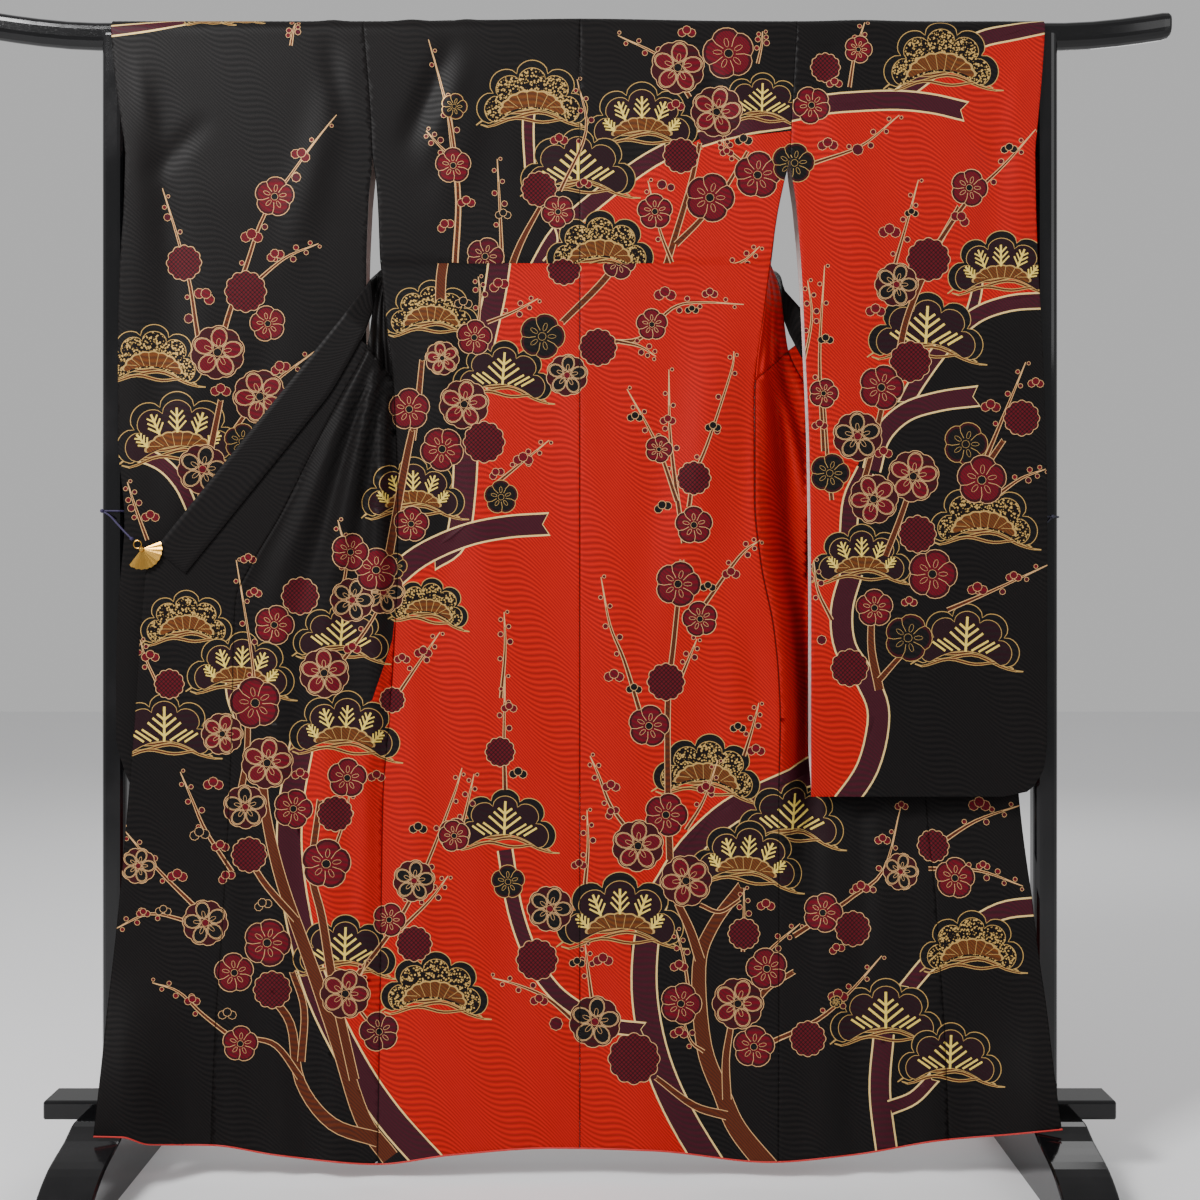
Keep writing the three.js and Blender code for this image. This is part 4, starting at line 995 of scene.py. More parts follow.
        ("double black", 414, 881, 21, 10), ("crimson", 389, 920, 17), ("crimson", 454, 836, 16, 30),
        ("buds", 300, 778, 9), ("buds", 213, 788, 10), ("black buds", 200, 838, 10, 10),
        ("buds", 220, 850, 9), ("buds", 228, 880, 9, 30), ("buds", 177, 880, 10), ("buds", 143, 916, 7),
        ("black buds", 163, 914, 8), ("buds", 192, 1004, 8), ("black buds", 227, 1018, 9),
        ("black buds", 264, 908, 9, 20), ("buds", 376, 780, 9), ("buds", 352, 652, 9),
        ("black buds", 418, 832, 9), ("tied", 300, 596, 19), ("double black", 352, 600, 22),
        ("crimson", 376, 570, 22, 16), ("crimson", 350, 552, 19), ("buds", 248, 562, 8),
        ("buds", 150, 660, 9), ("buds", 254, 596, 8),
    ],
}
PRINT["right sleeve"] = {
    "red": [
        (780, -60), (1100, -60), (1100, 296), (1039, 296), (1000, 300), (965, 320), (920, 360),
        (890, 412), (868, 440), (852, 480), (858, 560), (846, 640), (862, 680), (876, 716),
        (862, 764), (840, 812), (780, 830),
    ],
    "black": [
        (780, -60), (1100, -60), (1100, 14), (1048, 22), (990, 38), (930, 80), (900, 96),
        (830, 104), (780, 112),
    ],
    "trunks": [
        ([(1062, 20), (1016, 30), (982, 38), (950, 56), (922, 78), (896, 98)], 15, 13),
        ([(782, 112), (830, 103), (889, 99), (930, 102), (966, 110)], 18, 17),
        ([(979, 280), (977, 294), (972, 312)], 8, 9),
        ([(1054, 300), (1010, 303), (975, 316), (944, 346), (918, 382), (906, 404)], 14, 13),
        ([(872, 470), (882, 436), (906, 412), (940, 401), (978, 396)], 16, 18),
        ([(852, 572), (842, 610), (846, 648), (868, 682), (879, 716), (868, 768), (838, 812)], 20, 20),
        ([(866, 470), (852, 500), (848, 540)], 16, 15),
    ],
    "boughs": [
        ([(892, 400), (900, 352), (910, 310), (936, 250), (960, 206)], 6, 4),
        ([(880, 690), (872, 650), (872, 610)], 8, 5),
        ([(880, 680), (900, 658), (920, 640)], 5, 3),
        ([(886, 556), (900, 520), (914, 480)], 5, 4),
        ([(970, 500), (984, 470), (1004, 440)], 6, 4),
        ([(858, 500), (870, 460), (884, 400)], 5, 4),
        ([(832, 500), (828, 460), (824, 400)], 3, 2),
    ],
    "twigs": [
        ([(939, 242), (969, 199), (1006, 163), (1036, 129)], 5),
        ([(890, 290), (896, 262), (908, 220), (919, 179)], 4),
        ([(824, 451), (820, 358), (825, 265)], 4), ([(812, 163), (860, 146), (900, 114)], 3),
        ([(986, 458), (1004, 416), (1026, 362)], 4), ([(999, 494), (1022, 478), (1046, 469)], 3),
        ([(948, 610), (990, 592), (1050, 564)], 4), ([(850, 86), (856, 50), (866, 20)], 3),
        ([(832, 620), (818, 590), (814, 560)], 3), ([(800, 380), (812, 320), (808, 280)], 2),
    ],
    "pines": [
        ("brocade", 942, 52, 58), ("sprigs", 1002, 260, 54), ("needles", 926, 324, 58, -3),
        ("sprigs", 862, 552, 50), ("brocade", 984, 512, 54, -3), ("needles", 966, 634, 54, -3),
    ],
    "flowers": [
        ("crimson", 859, 48, 14), ("tied", 826, 66, 15), ("buds", 835, 85, 8),
        ("crimson", 812, 104, 19, 44), ("black", 795, 162, 20, 6), ("buds", 828, 148, 10),
        ("bud", 858, 149, 6), ("crimson", 970, 187, 19), ("black buds", 1010, 151, 8),
        ("buds", 959, 221, 10, -30), ("tied", 929, 259, 22), ("double black", 897, 284, 22),
        ("buds", 890, 235, 11), ("black buds", 912, 215, 7), ("tied", 911, 361, 21),
        ("crimson", 882, 387, 23), ("double black", 858, 436, 25, 20), ("black", 830, 473, 20),
        ("double", 914, 476, 26, 10), ("double", 874, 499, 25, 40), ("black", 966, 444, 22),
        ("crimson", 982, 480, 25, 14), ("tied", 1022, 418, 18), ("buds", 991, 410, 10),
        ("buds", 1036, 386, 8), ("crimson", 824, 393, 15), ("black buds", 826, 342, 8),
        ("buds", 820, 428, 8), ("tied", 918, 534, 19), ("crimson", 933, 574, 25),
        ("crimson", 875, 608, 19, 20), ("black", 909, 638, 24), ("tied", 850, 668, 19),
        ("buds", 978, 593, 10), ("buds", 1014, 580, 8), ("buds", 884, 456, 9), ("buds", 910, 605, 8),
        ("buds", 876, 314, 10), ("bud", 822, 640, 5),
    ],
}


def print_shapes(part):
    """All outlines of one part of the print, in the order they are laid."""
    design = PRINT[part]
    shapes = []
    for paint in ("red", "black"):
        if paint in design:
            shapes.append((from_picture(design[paint]), paint))
    for path, start, end in design["trunks"]:
        shapes += band(from_picture(path), start * PIXEL, end * PIXEL, 2.6)
    for kind, across, down, size, *turn in design["pines"]:
        shapes += placed(pine(size * PIXEL, kind), across, down + size * 0.42, *turn)
    for path, start, end in design["boughs"]:
        shapes += band(from_picture(path), start * PIXEL, end * PIXEL, 1.1, "bark", "line")
    for path, start in design["twigs"]:
        shapes += twig(from_picture(path), start)
    for kind, across, down, size, *turn in design["flowers"]:
        shapes += placed(FLOWERS[kind](size * PIXEL), across, down, *turn)
    return [(anticlockwise(points), paint) for points, paint in shapes]


def anticlockwise(points):
    """The outline in its anticlockwise order, by the sign of its area."""
    x, y = np.asarray(points).T
    area = np.sum(x * np.roll(y, -1) - y * np.roll(x, -1))
    return np.asarray(points) if area > 0 else np.asarray(points)[::-1]


SLEEVE_MIDDLE = 483
REAR_SHIFT = 46


def over_the_bar(shapes):
    """The same kind of print on the rear of a sleeve, upright there too, and mirrored from side to side."""
    rear = []
    for points, paint in shapes:
        x, s = points.T
        middle = (x.min() + x.max()) / 2
        centre = math.copysign(2 * SLEEVE_MIDDLE, middle) - middle
        mirrored = np.stack([centre - (x - middle), 2 * RIDGE - s + REAR_SHIFT], axis=-1)
        rear.append((anticlockwise(mirrored), paint))
    return rear


# Printed panels

UNSEAMED = 100.0
GRID = 9.0
ROW_STEP = GRID * 0.87
TURN_GRID = 3.5
TURN_MARGIN = 4
OUTLINE_STEP = 7


def evenly(start, end, count=48):
    """Points between two corners, without the corners."""
    return mix(start, end, np.linspace(0, 1, count + 1)[1:-1, None])


def field(outline):
    """Staggered points all over an outline's box, closer where the cloth turns over the bar."""
    low, high = outline.min(axis=0), outline.max(axis=0)
    turn_from = SPRING - TURN_MARGIN
    turn_to = 2 * RIDGE - SPRING + TURN_MARGIN
    rows = [np.arange(low[1], min(high[1], turn_from), ROW_STEP)]
    if high[1] > turn_from:
        rows.append(np.arange(turn_from, min(high[1], turn_to), TURN_GRID))
    if high[1] > turn_to:
        rows.append(np.arange(turn_to, high[1], ROW_STEP))
    s = np.concatenate(rows)
    x = np.arange(low[0], high[0], GRID)
    grid_x, grid_s = np.meshgrid(x, s)
    grid_x = grid_x + (np.arange(len(s)) % 2)[:, None] * GRID / 2
    return np.stack([grid_x.ravel(), grid_s.ravel()], axis=-1)


def parted(regions):
    """Triangles of a flat panel, each with the paint of the uppermost outline round it.

    regions are pairs of an outline and the shapes printed inside it.
    """
    polygons = [anticlockwise(outline) for outline, _ in regions]
    region_of = [-1] * len(regions)
    paints = [0] * len(regions)
    for index, (outline, shapes) in enumerate(regions):
        low, high = outline.min(axis=0), outline.max(axis=0)
        for points, paint in shapes:
            if np.all(points.max(axis=0) > low) and np.all(points.min(axis=0) < high):
                polygons.append(points)
                region_of.append(index)
                paints.append(PAINT_NAMES.index(paint))
    counts = [len(points) for points in polygons]
    starts = np.concatenate([[0], np.cumsum(counts)])
    faces = [list(range(a, b)) for a, b in zip(starts, starts[1:])]
    inner = np.concatenate([field(outline) for outline, _ in regions])
    flat = np.concatenate(polygons + [inner])
    points, _, triangles, _, _, holders = delaunay_2d_cdt(flat.tolist(), [], faces, 0, 1e-3, True)
    held = np.array([len(faces_round) for faces_round in holders])
    holder = np.array([index for faces_round in holders for index in faces_round])
    triangle = np.repeat(np.arange(len(triangles)), held)
    region = np.full(len(triangles), -1)
    outer = holder < len(regions)
    np.maximum.at(region, triangle[outer], holder[outer])
    top = np.full(len(triangles), -1)
    fits = ~outer & (np.array(region_of)[holder] == region[triangle])
    np.maximum.at(top, triangle[fits], holder[fits])
    keep = region >= 0
    paint = np.where(top >= 0, np.array(paints)[top], PAINT_NAMES.index("black"))
    return np.array([tuple(p) for p in points]), np.array(triangles)[keep], paint[keep]


def used_only(points, triangles):
    """The points that triangles use, and the triangles numbered anew."""
    used, fresh = np.unique(triangles, return_inverse=True)
    return points[used], fresh.reshape(triangles.shape)


def seam_distance(flat, faces):
    """Millimetres from the panel's own edge for the points next to it, and far for the rest."""
    pairs = np.sort(np.concatenate([faces[:, [0, 1]], faces[:, [1, 2]], faces[:, [2, 0]]]), axis=1)
    pairs, uses = np.unique(pairs, axis=0, return_counts=True)
    edges = pairs[uses == 1]
    near = np.unique(faces[np.isin(faces, edges).any(axis=1)])
    start = flat[edges[:, 0]]
    run = flat[edges[:, 1]] - start
    away = flat[near][:, None] - start
    share = np.clip(np.sum(away * run, axis=-1) / np.sum(run ** 2, axis=-1), 0, 1)
    distance = np.full(len(flat), UNSEAMED)
    distance[near] = np.linalg.norm(away - share[..., None] * run, axis=-1).min(axis=1)
    return distance


def mesh_object(name, places, faces, materials):
    """A smooth object of places in millimetres."""
    mesh = bpy.data.meshes.new(name)
    mesh.from_pydata((np.asarray(places) * MM).tolist(), [], faces)
    for material in materials:
        mesh.materials.append(material)
    mesh.shade_smooth()
    made = bpy.data.objects.new(name, mesh)
    bpy.context.collection.objects.link(made)
    return made


def cloth_object(name, places, flat, faces, paint, thickness, materials, from_seam=None):
    """A thin shell of cloth: printed outside, lined inside."""
    made = mesh_object(name, places, faces.tolist(), materials)
    mesh = made.data
    corners = np.empty(len(mesh.loops), dtype=np.int32)
    mesh.loops.foreach_get("vertex_index", corners)
    cut = mesh.uv_layers.new(name="cut")
    cut.data.foreach_set("uv", (flat[corners] * MM).astype(np.float32).ravel())
    tint, leaf, figure = zip(*PAINTS.values())
    colours = np.array([(*colour, 1) for colour in tint], dtype=np.float32)
    mesh.attributes.new("tint", "FLOAT_COLOR", "FACE").data.foreach_set("color", colours[paint].ravel())
    from_seam = np.full(len(places), UNSEAMED) if from_seam is None else from_seam
    for word, domain, values in (
        ("leaf", "FACE", np.array(leaf)[paint]),
        ("figure", "FACE", np.array(figure)[paint]),
        ("from_seam", "POINT", from_seam),
    ):
        attribute = mesh.attributes.new(word, "FLOAT", domain)
        attribute.data.foreach_set("value", values.astype(np.float32))
    mesh.update()
    wall = made.modifiers.new("wall", "SOLIDIFY")
    wall.thickness = thickness * MM
    wall.offset = 0
    wall.material_offset = 1
    wall.material_offset_rim = 0
    made.modifiers.new("flat to the edge", "WEIGHTED_NORMAL").weight = 100
    return made


# Panel outlines, in their own planes

UPPER_COLUMNS = 34


def bottom_line(x_from, x_to):
    """Points along the hem between two places."""
    x = np.linspace(x_from, x_to, max(2, int(abs(x_to - x_from) / OUTLINE_STEP) + 1))
    return np.stack([x, hem_height(x)], axis=-1)


def back_outline(side, low, high):
    """A back half between two heights, the lower one following the hem when it is None."""
    near = side * SEAM_GAP / 2
    foot = float(hem_height(side * 270)) if low is None else low
    s = np.linspace(foot, high, int((high - foot) / OUTLINE_STEP) + 1)
    outer = np.stack([side * (side_edge[side](s) - SEAM_GAP / 2), s], axis=-1)
    inner = np.stack([np.full_like(s, near), s], axis=-1)[::-1]
    if low is None:
        inner = inner[inner[:, 1] > hem_height(near) + 1]
        return np.concatenate([bottom_line(near, outer[0, 0])[:-1], outer, inner])
    return np.concatenate([outer, inner])


def hung_outline(side, ends):
    """A front or an overlap from its point row down to the hem."""
    rows = np.linspace(POINT_ROW, LAST_ROW, 170)
    ax, az, bx, bz = ends(side, rows)
    start = np.stack([ax, az], axis=-1)
    far = np.stack([bx, bz], axis=-1)
    start = start[start[:, 1] > hem_height(start[:, 0])]
    far = far[far[:, 1] > hem_height(far[:, 0])]
    top = evenly(start[0], far[0], UPPER_COLUMNS)
    return np.concatenate([start[::-1], top, far, bottom_line(far[-1, 0], start[-1, 0])[1:-1]])


def sleeve_outline(side, rear_half):
    """Half of a sleeve's strip, up to the top of the bar or on from it."""
    if rear_half:
        s = np.concatenate([
            np.linspace(RIDGE, 2 * RIDGE - SPRING, 10, endpoint=False),
            np.linspace(2 * RIDGE - SPRING, 2 * RIDGE - SLEEVE_BOTTOM, 150),
        ])
    else:
        s = np.concatenate([
            np.linspace(SLEEVE_BOTTOM, SPRING, 150, endpoint=False),
            np.linspace(SPRING, RIDGE, 10),
        ])
    z = np.where(s > RIDGE, 2 * RIDGE - s, s)
    tuck_in = mix(700, REAR_CUFF_X, smooth((z - CUFF_END) / 30) * smooth((s - RIDGE) / 30))
    outer = np.minimum(sleeve_out[side](z), np.where(s > RIDGE, tuck_in, 700))
    inner = np.where(z >= CUFF_END, side_edge[side](z), sleeve_in[side](z)) + SEAM_GAP / 2
    out_line = np.stack([side * outer, s], axis=-1)
    in_line = np.stack([side * inner, s], axis=-1)[::-1]
    foot = evenly(in_line[-1], out_line[0])
    head = evenly(out_line[-1], in_line[0])
    return np.concatenate([foot, out_line, head, in_line])


def upper_front(side):
    """The part of a front behind the bar and round to its point, as a grid of crosswise lines."""
    rows = np.concatenate([np.linspace(0, 1, 9), np.linspace(1, POINT_ROW, 110)[1:]])[:, None]
    shares = np.linspace(0, 1, UPPER_COLUMNS + 1)[None, :]
    start_x, start_z, end_x, end_z = front_ends(side, rows)
    x = mix(start_x, end_x, shares)
    height = mix(start_z, end_z, shares)
    places = drape(x, height, front_y(side, rows, shares, x, height))
    places[0, :, 1] += SEAM_GAP / 2
    flat = np.stack([x, height], axis=-1)
    return places, flat


def grid_faces(rows, columns, flip):
    """Four-sided faces between the points of a grid, numbered row by row."""
    index = np.arange(rows * columns).reshape(rows, columns)
    corners = [index[:-1, :-1], index[:-1, 1:], index[1:, 1:], index[1:, :-1]]
    quads = np.stack(corners, axis=-1).reshape(-1, 4)
    return quads[:, ::-1] if flip else quads


def split_quads(quads):
    """Each four-sided face as two triangles along its first diagonal."""
    return np.concatenate([quads[:, [0, 1, 2]], quads[:, [0, 2, 3]]])


def tube_faces(rings, around, start=0):
    """The faces of a tube of rings, whose points are numbered ring by ring, and of its two ends."""
    index = start + np.arange(rings * around).reshape(-1, around)
    onward = np.roll(index, -1, axis=1)
    walls = np.stack([index[:-1], index[1:], onward[1:], onward[:-1]], axis=-1).reshape(-1, 4)
    return walls, index[0], index[-1][::-1]


ROLL_RADIUS = 1.5
ROLL_LIFT = 0.3
ROLL_AROUND = 8


def hem_roll(name, lay, x_from, x_to, material):
    """The lining's edge, rolled out as a thin cord under the hem."""
    x = np.linspace(min(x_from, x_to), max(x_from, x_to), 60)
    centre = lay(x, hem_height(x) + ROLL_LIFT)
    angle = np.arange(ROLL_AROUND) * 2 * np.pi / ROLL_AROUND
    section = np.stack([0 * angle, np.cos(angle), np.sin(angle)], axis=-1) * ROLL_RADIUS
    tube = centre[:, None] + section[None]
    walls, foot, head = tube_faces(len(x), ROLL_AROUND)
    faces = [*walls.tolist(), foot.tolist(), head.tolist()]
    made = mesh_object(name, tube.reshape(-1, 3), faces, [material])
    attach(made, "root")
    return made


# The right front is red below this height, where the armhole shows it
RED_BELOW = 1290


def front_object(side, name, shapes, materials):
    """A whole front: its plain upper part behind and the printed part that swings out."""
    printed = [item for item in shapes if clear_of_point_row(side, item[0])]
    flat, faces, paint = parted([(hung_outline(side, front_ends), printed)])
    flat, faces = used_only(flat, faces)
    places = lay_hung(side, front_ends, front_y)(*flat.T)
    grid, grid_flat = upper_front(side)
    upper_faces = split_quads(grid_faces(*grid.shape[:2], flip=side == RIGHT))
    upper = grid.reshape(-1, 3)
    reddened = (upper[upper_faces, 2].mean(axis=1) < RED_BELOW) & (side == RIGHT)
    upper_paint = np.where(reddened, PAINT_NAMES.index("red"), PAINT_NAMES.index("black"))
    made = cloth_object(
        name,
        np.concatenate([places, upper]),
        np.concatenate([flat, grid_flat.reshape(-1, 2)]),
        np.concatenate([faces, upper_faces + len(flat)]),
        np.concatenate([paint, upper_paint]),
        CLOTH,
        materials,
        np.concatenate([seam_distance(flat, faces), np.full(len(upper), UNSEAMED)]),
    )
    # The two parts are walled first and then joined
    made.modifiers.new("one cloth", "WELD").merge_threshold = 0.02 * MM
    made.modifiers.move(made.modifiers.find("flat to the edge"), 0)
    return made


def clear_of_point_row(side, points):
    """Whether a shape stays below the row where a front's printed part begins."""
    ax, az, bx, bz = front_ends(side, float(POINT_ROW))
    over = points[:, 1] > mix(az, bz, (points[:, 0] - ax) / (bx - ax)) - 1
    within = (side * points[:, 0] > side * ax - 5) & (side * points[:, 0] < side * bx + 5)
    return not np.any(over & within)


def panel_object(name, regions, lay, materials, ridge_shift=0.0, seamed=True):
    """A printed panel, moved in depth by ridge_shift where it reaches the top of the bar."""
    flat, faces, paint = parted(regions)
    flat, faces = used_only(flat, faces)
    places = lay(*flat.T)
    places[:, 1] += ridge_shift * smooth((flat[:, 1] - RIDGE + 4) / 4)
    from_seam = seam_distance(flat, faces) if seamed else None
    return cloth_object(name, places, flat, faces, paint, CLOTH, materials, from_seam)


# Collar

COLLAR_LIFT = (CLOTH + COLLAR) / 2 + SEAT_GAP
COLLAR_SHARES = np.linspace(0, 1, 9)
COLLAR_WIDTH = 55
NECK_DROP = 55


def collar_half(side):
    """Crosswise lines of half the collar, from the neck over the bar down to its end on the overlap."""
    rows = np.concatenate([np.linspace(0, 1, 6), np.linspace(1, GAP_ROW, 90)[1:]])[:, None]
    free_y = along(COLLAR_FREE, "row", "left_y" if side == LEFT else "right_y")(rows)
    free_x = side * along(COLLAR_FREE, "row", "x")(rows)
    free_z = along(COLLAR_FREE, "row", "z")(rows)
    _, _, sewn_x, sewn_z = front_ends(side, rows)
    sewn_y = front_y(side, rows, 1.0, sewn_x, sewn_z)
    length = np.sqrt((free_x - sewn_x) ** 2 + (free_z - sewn_z) ** 2 + (free_y - sewn_y) ** 2)
    share = mix((SEAM_GAP + np.where(rows < 10, 0.8, 1.6)) / length, 1, COLLAR_SHARES[None, :])
    upper = drape(mix(sewn_x, free_x, share), mix(sewn_z, free_z, share), mix(sewn_y, free_y, share))
    upper[0, :, 1] += SEAM_GAP / 2 + 0.4
    run = np.subtract(COLLAR_TO, COLLAR_FROM)
    length = np.hypot(*run)
    way = np.linspace(0.1, 1, 60)[:, None]
    inset = along(COLLAR_WIDTHS, "along", "width")(way) * (1 - COLLAR_SHARES[None, :])
    x = side * (COLLAR_FROM[0] + run[0] * way + run[1] / length * inset)
    z = COLLAR_FROM[1] + run[1] * way - run[0] / length * inset
    lower = drape(x, z, wing_depth(side, x, z) - COLLAR_LIFT)
    return np.concatenate([upper, lower])


def collar_object(materials):
    """The whole collar as one strip, from its left end round the neck to its right end."""
    left, right = collar_half(LEFT), collar_half(RIGHT)
    neck = drape(0.0, RIDGE - NECK_DROP * COLLAR_SHARES, TURN_RADIUS)
    neck[:, 1] += SEAT_GAP
    strip = np.concatenate([left[::-1], neck[None], right])
    middle = strip[:, len(COLLAR_SHARES) // 2]
    step = np.concatenate([[0], np.cumsum(np.linalg.norm(np.diff(middle, axis=0), axis=-1))])
    flat = np.stack(np.broadcast_arrays(COLLAR_SHARES * COLLAR_WIDTH, step[:, None]), axis=-1)
    faces = split_quads(grid_faces(*strip.shape[:2], flip=True))
    paint = np.full(len(faces), PAINT_NAMES.index("black"))
    places = strip.reshape(-1, 3)
    return cloth_object("cloth_collar", places, flat.reshape(-1, 2), faces, paint, COLLAR, materials)


# Materials

def sign(operation):
    """A Python sign that adds a maths node."""
    return lambda value, *others: value.maths(operation, *others)


class Value:
    """A node's output that takes Python's signs."""

    def __init__(self, shader, socket):
        self.shader = shader
        self.socket = socket

    def maths(self, operation, *others):
        inputs = dict(enumerate([self, *others]))
        return self.shader.node("ShaderNodeMath", {"operation": operation}, inputs)

    def __neg__(self):
        return self * -1

    def __rsub__(self, other):
        return -self + other

    __add__ = __radd__ = sign("ADD")
    __mul__ = __rmul__ = sign("MULTIPLY")
    __sub__ = sign("SUBTRACT")
    __gt__ = sign("GREATER_THAN")
    __lt__ = sign("LESS_THAN")
    __abs__ = sign("ABSOLUTE")


class Shader:
    """A material made of nodes."""

    def __init__(self, name, **constants):
        self.material = bpy.data.materials.new(name)
        self.material.use_nodes = True
        self.nodes = self.material.node_tree.nodes
        self.links = self.material.node_tree.links
        self.surface = self.nodes["Principled BSDF"]
        for key, value in constants.items():
            self.surface.inputs[key.replace("_", " ")].default_value = value

    def node(self, kind, settings=None, inputs=None, output=0):
        made = self.nodes.new(kind)
        for key, value in (settings or {}).items():
            setattr(made, key, value)
        for key, value in (inputs or {}).items():
            self.join(made.inputs[key], value)
        return Value(self, made.outputs[output])

    def join(self, socket, value):
        if isinstance(value, Value):
            self.links.new(value.socket, socket)
        else:
            socket.default_value = value

    def output_of(self, value, name):
        return Value(self, value.socket.node.outputs[name])

    def feed(self, name, value):
        self.join(self.surface.inputs[name], value)

    def feed_bump(self, strength, distance, height):
        inputs = {"Strength": strength, "Distance": distance, "Height": height}
        self.feed("Normal", self.node("ShaderNodeBump", {}, inputs))

    def painted(self, name):
        """A number that the cloth's mesh carries."""
        return self.output_of(self.node("ShaderNodeAttribute", {"attribute_name": name}), "Fac")

    def noise(self, place, scale, detail):
        return self.node("ShaderNodeTexNoise", {}, {"Vector": place, "Scale": scale, "Detail": detail})

    def object_noise(self, scale, detail=2.0):
        return self.noise(self.output_of(self.node("ShaderNodeTexCoord"), "Object"), scale, detail)

    def scaled(self, colour, factor):
        inputs = {"Vector": colour, "Scale": factor}
        return self.node("ShaderNodeVectorMath", {"operation": "SCALE"}, inputs)

    def blend(self, factor, first, second):
        """A mix of two colours, whose sockets share their names with others, so they go by number."""
        return self.node("ShaderNodeMix", {"data_type": "RGBA"}, {0: factor, 6: first, 7: second}, 2)


def wave(value):
    return value.maths("SINE")


def steep(value, low, high):
    """0 below low and 1 above high."""
    shader = value.shader
    settings = {"interpolation_type": "SMOOTHSTEP"}
    return shader.node("ShaderNodeMapRange", settings, {"Value": value, "From Min": low, "From Max": high})


def cut_place(shader):
    """Across and along the cloth's own cut, in metres."""
    place = shader.node("ShaderNodeUVMap", {"uv_map": "cut"})
    apart = shader.node("ShaderNodeSeparateXYZ", {}, {"Vector": place})
    return place, shader.output_of(apart, "X"), shader.output_of(apart, "Y")


TAU = 2 * math.pi
WEAVE_PITCH = 0.005
WEAVE_SWAY = 0.013
WEAVE_REACH = 0.13
TIED_PITCH = 0.0125


def woven_lines(across, up):
    """Fine slanting lines that sway together, as in figured silk: 1 on a line."""
    sway = wave((across + up * 0.35) * (TAU / WEAVE_REACH)) * WEAVE_SWAY
    return wave((across * 0.58 + up * 0.8 + sway) * (TAU / WEAVE_PITCH)) * 0.5 + 0.5


def printed_silk():
    """The outside: painted ground with woven lines and a painted sheen on them, tied dots, brocade, gold
    leaf, and painted shade along the seams.
    """
    shader = Shader("printed silk", Specular_IOR_Level=0.11)
    place, across, up = cut_place(shader)
    tint = shader.node("ShaderNodeAttribute", {"attribute_name": "tint"})
    leaf = shader.painted("leaf")
    figure = shader.painted("figure")
    weave = woven_lines(across, up)
    dots = wave((across + up) * (TAU / TIED_PITCH)) * wave((across - up) * (TAU / TIED_PITCH))
    tied = steep(abs(dots), 0.2, 0.4) * (figure > 0.5) * (figure < 1.5)
    cells = shader.node("ShaderNodeTexVoronoi", {"feature": "F1"}, {"Vector": place, "Scale": 330.0})
    blots = shader.noise(place, 120.0, 2.0)
    brocade = steep(cells, 0.5, 0.4) * steep(blots, 0.4, 0.47) * (figure > 1.5)
    bare = 1 - (leaf > 0.05)
    # Painted shade along the seams: the colour darkens within about a millimetre and a half of a panel's
    # edge, and the gilding is dulled and the cloth made rougher there too
    seam = steep(shader.painted("from_seam"), 1.5, 0.4)
    shaded = shader.scaled(tint, (1 - weave * bare * 0.5) * (1 - seam * 0.75))
    cloudy = shader.noise(place, 5.0, 3.0)
    # Painted sheen: the woven lines are lifted towards a pale pink, as light glancing off them; the cloudy
    # noise adds a faint tone that varies at random
    ground = shader.blend(weave * bare * 0.006 + cloudy * 0.002, shaded, (1, 0.8, 0.75, 1))
    spotted = shader.blend(tied, ground, (*linear(98, 16, 28), 1))
    shader.feed("Base Color", shader.blend(brocade, spotted, (*linear(222, 180, 104), 1)))
    gilding = leaf + brocade * 0.6
    shader.feed("Metallic", gilding * 0.55 * (1 - seam))
    shader.feed("Roughness", 0.55 - gilding * 0.18 - weave * 0.08 + seam * 0.4)
    threads = shader.noise(place, 2600.0, 1.0)
    shader.feed_bump(0.35, 0.0004, weave * 0.5 + threads * 0.4 + gilding * 0.5)
    return shader.material


def plain_silk(name, colour, edge_colour=None, edge_height=0.0, edge_width=0.001):
    """A lining, of another colour below a height along the cut if one is given."""
    shader = Shader(name, Roughness=0.55, Sheen_Weight=0.1, Specular_IOR_Level=0.3)
    place, _, up = cut_place(shader)
    if edge_colour is None:
        shader.feed("Base Color", (*colour, 1))
    else:
        share = steep(up, edge_height, edge_height + edge_width)
        shader.feed("Base Color", shader.blend(share, (*edge_colour, 1), (*colour, 1)))
    shader.feed_bump(0.25, 0.0003, shader.noise(place, 1900.0, 1.0))
    return shader.material


def lacquer_coat():
    """Black lacquer: deep gloss, slightly uneven, a little duller where hands have rubbed it."""
    shader = Shader("black lacquer", Specular_IOR_Level=0.3, Coat_Weight=0.12, Coat_Roughness=0.04)
    rubbed = steep(shader.object_noise(7.0, 4.0), 0.45, 0.7)
    specks = steep(shader.object_noise(900.0, 0.0), 0.7, 0.78)
    worn = rubbed * 0.5 + specks * 0.3
    shader.feed("Base Color", shader.blend(worn, (0.003, 0.003, 0.0035, 1), (0.012, 0.011, 0.012, 1)))
    shader.feed("Roughness", 0.09 + rubbed * 0.09 + specks * 0.1)
    shader.feed_bump(0.12, 0.0006, shader.object_noise(26.0, 1.0))
    return shader.material


def gilt_metal():
    """Thin gilt brass, brushed and faintly beaten."""
    shader = Shader("gilt metal", Metallic=1.0)
    worn = shader.object_noise(90.0, 3.0)
    shader.feed("Base Color", shader.blend(worn, (*linear(232, 184, 92), 1), (*linear(196, 142, 62), 1)))
    shader.feed("Roughness", 0.2 + worn * 0.2)
    shader.feed_bump(0.3, 0.0003, shader.object_noise(420.0, 1.0))
    return shader.material


def cord_silk(name, colour):
    """Twisted silk, with fine fibres and lighter where it is rubbed."""
    shader = Shader(name, Sheen_Weight=0.05)
    fibres = shader.object_noise(1800.0)
    light = tuple(min(1.0, 1.5 * part + 0.01) for part in colour)
    shader.feed("Base Color", shader.blend(fibres, (*colour, 1), (*light, 1)))
    shader.feed("Roughness", 0.5 + fibres * 0.2)
    shader.feed_bump(0.4, 0.0002, fibres)
    return shader.material


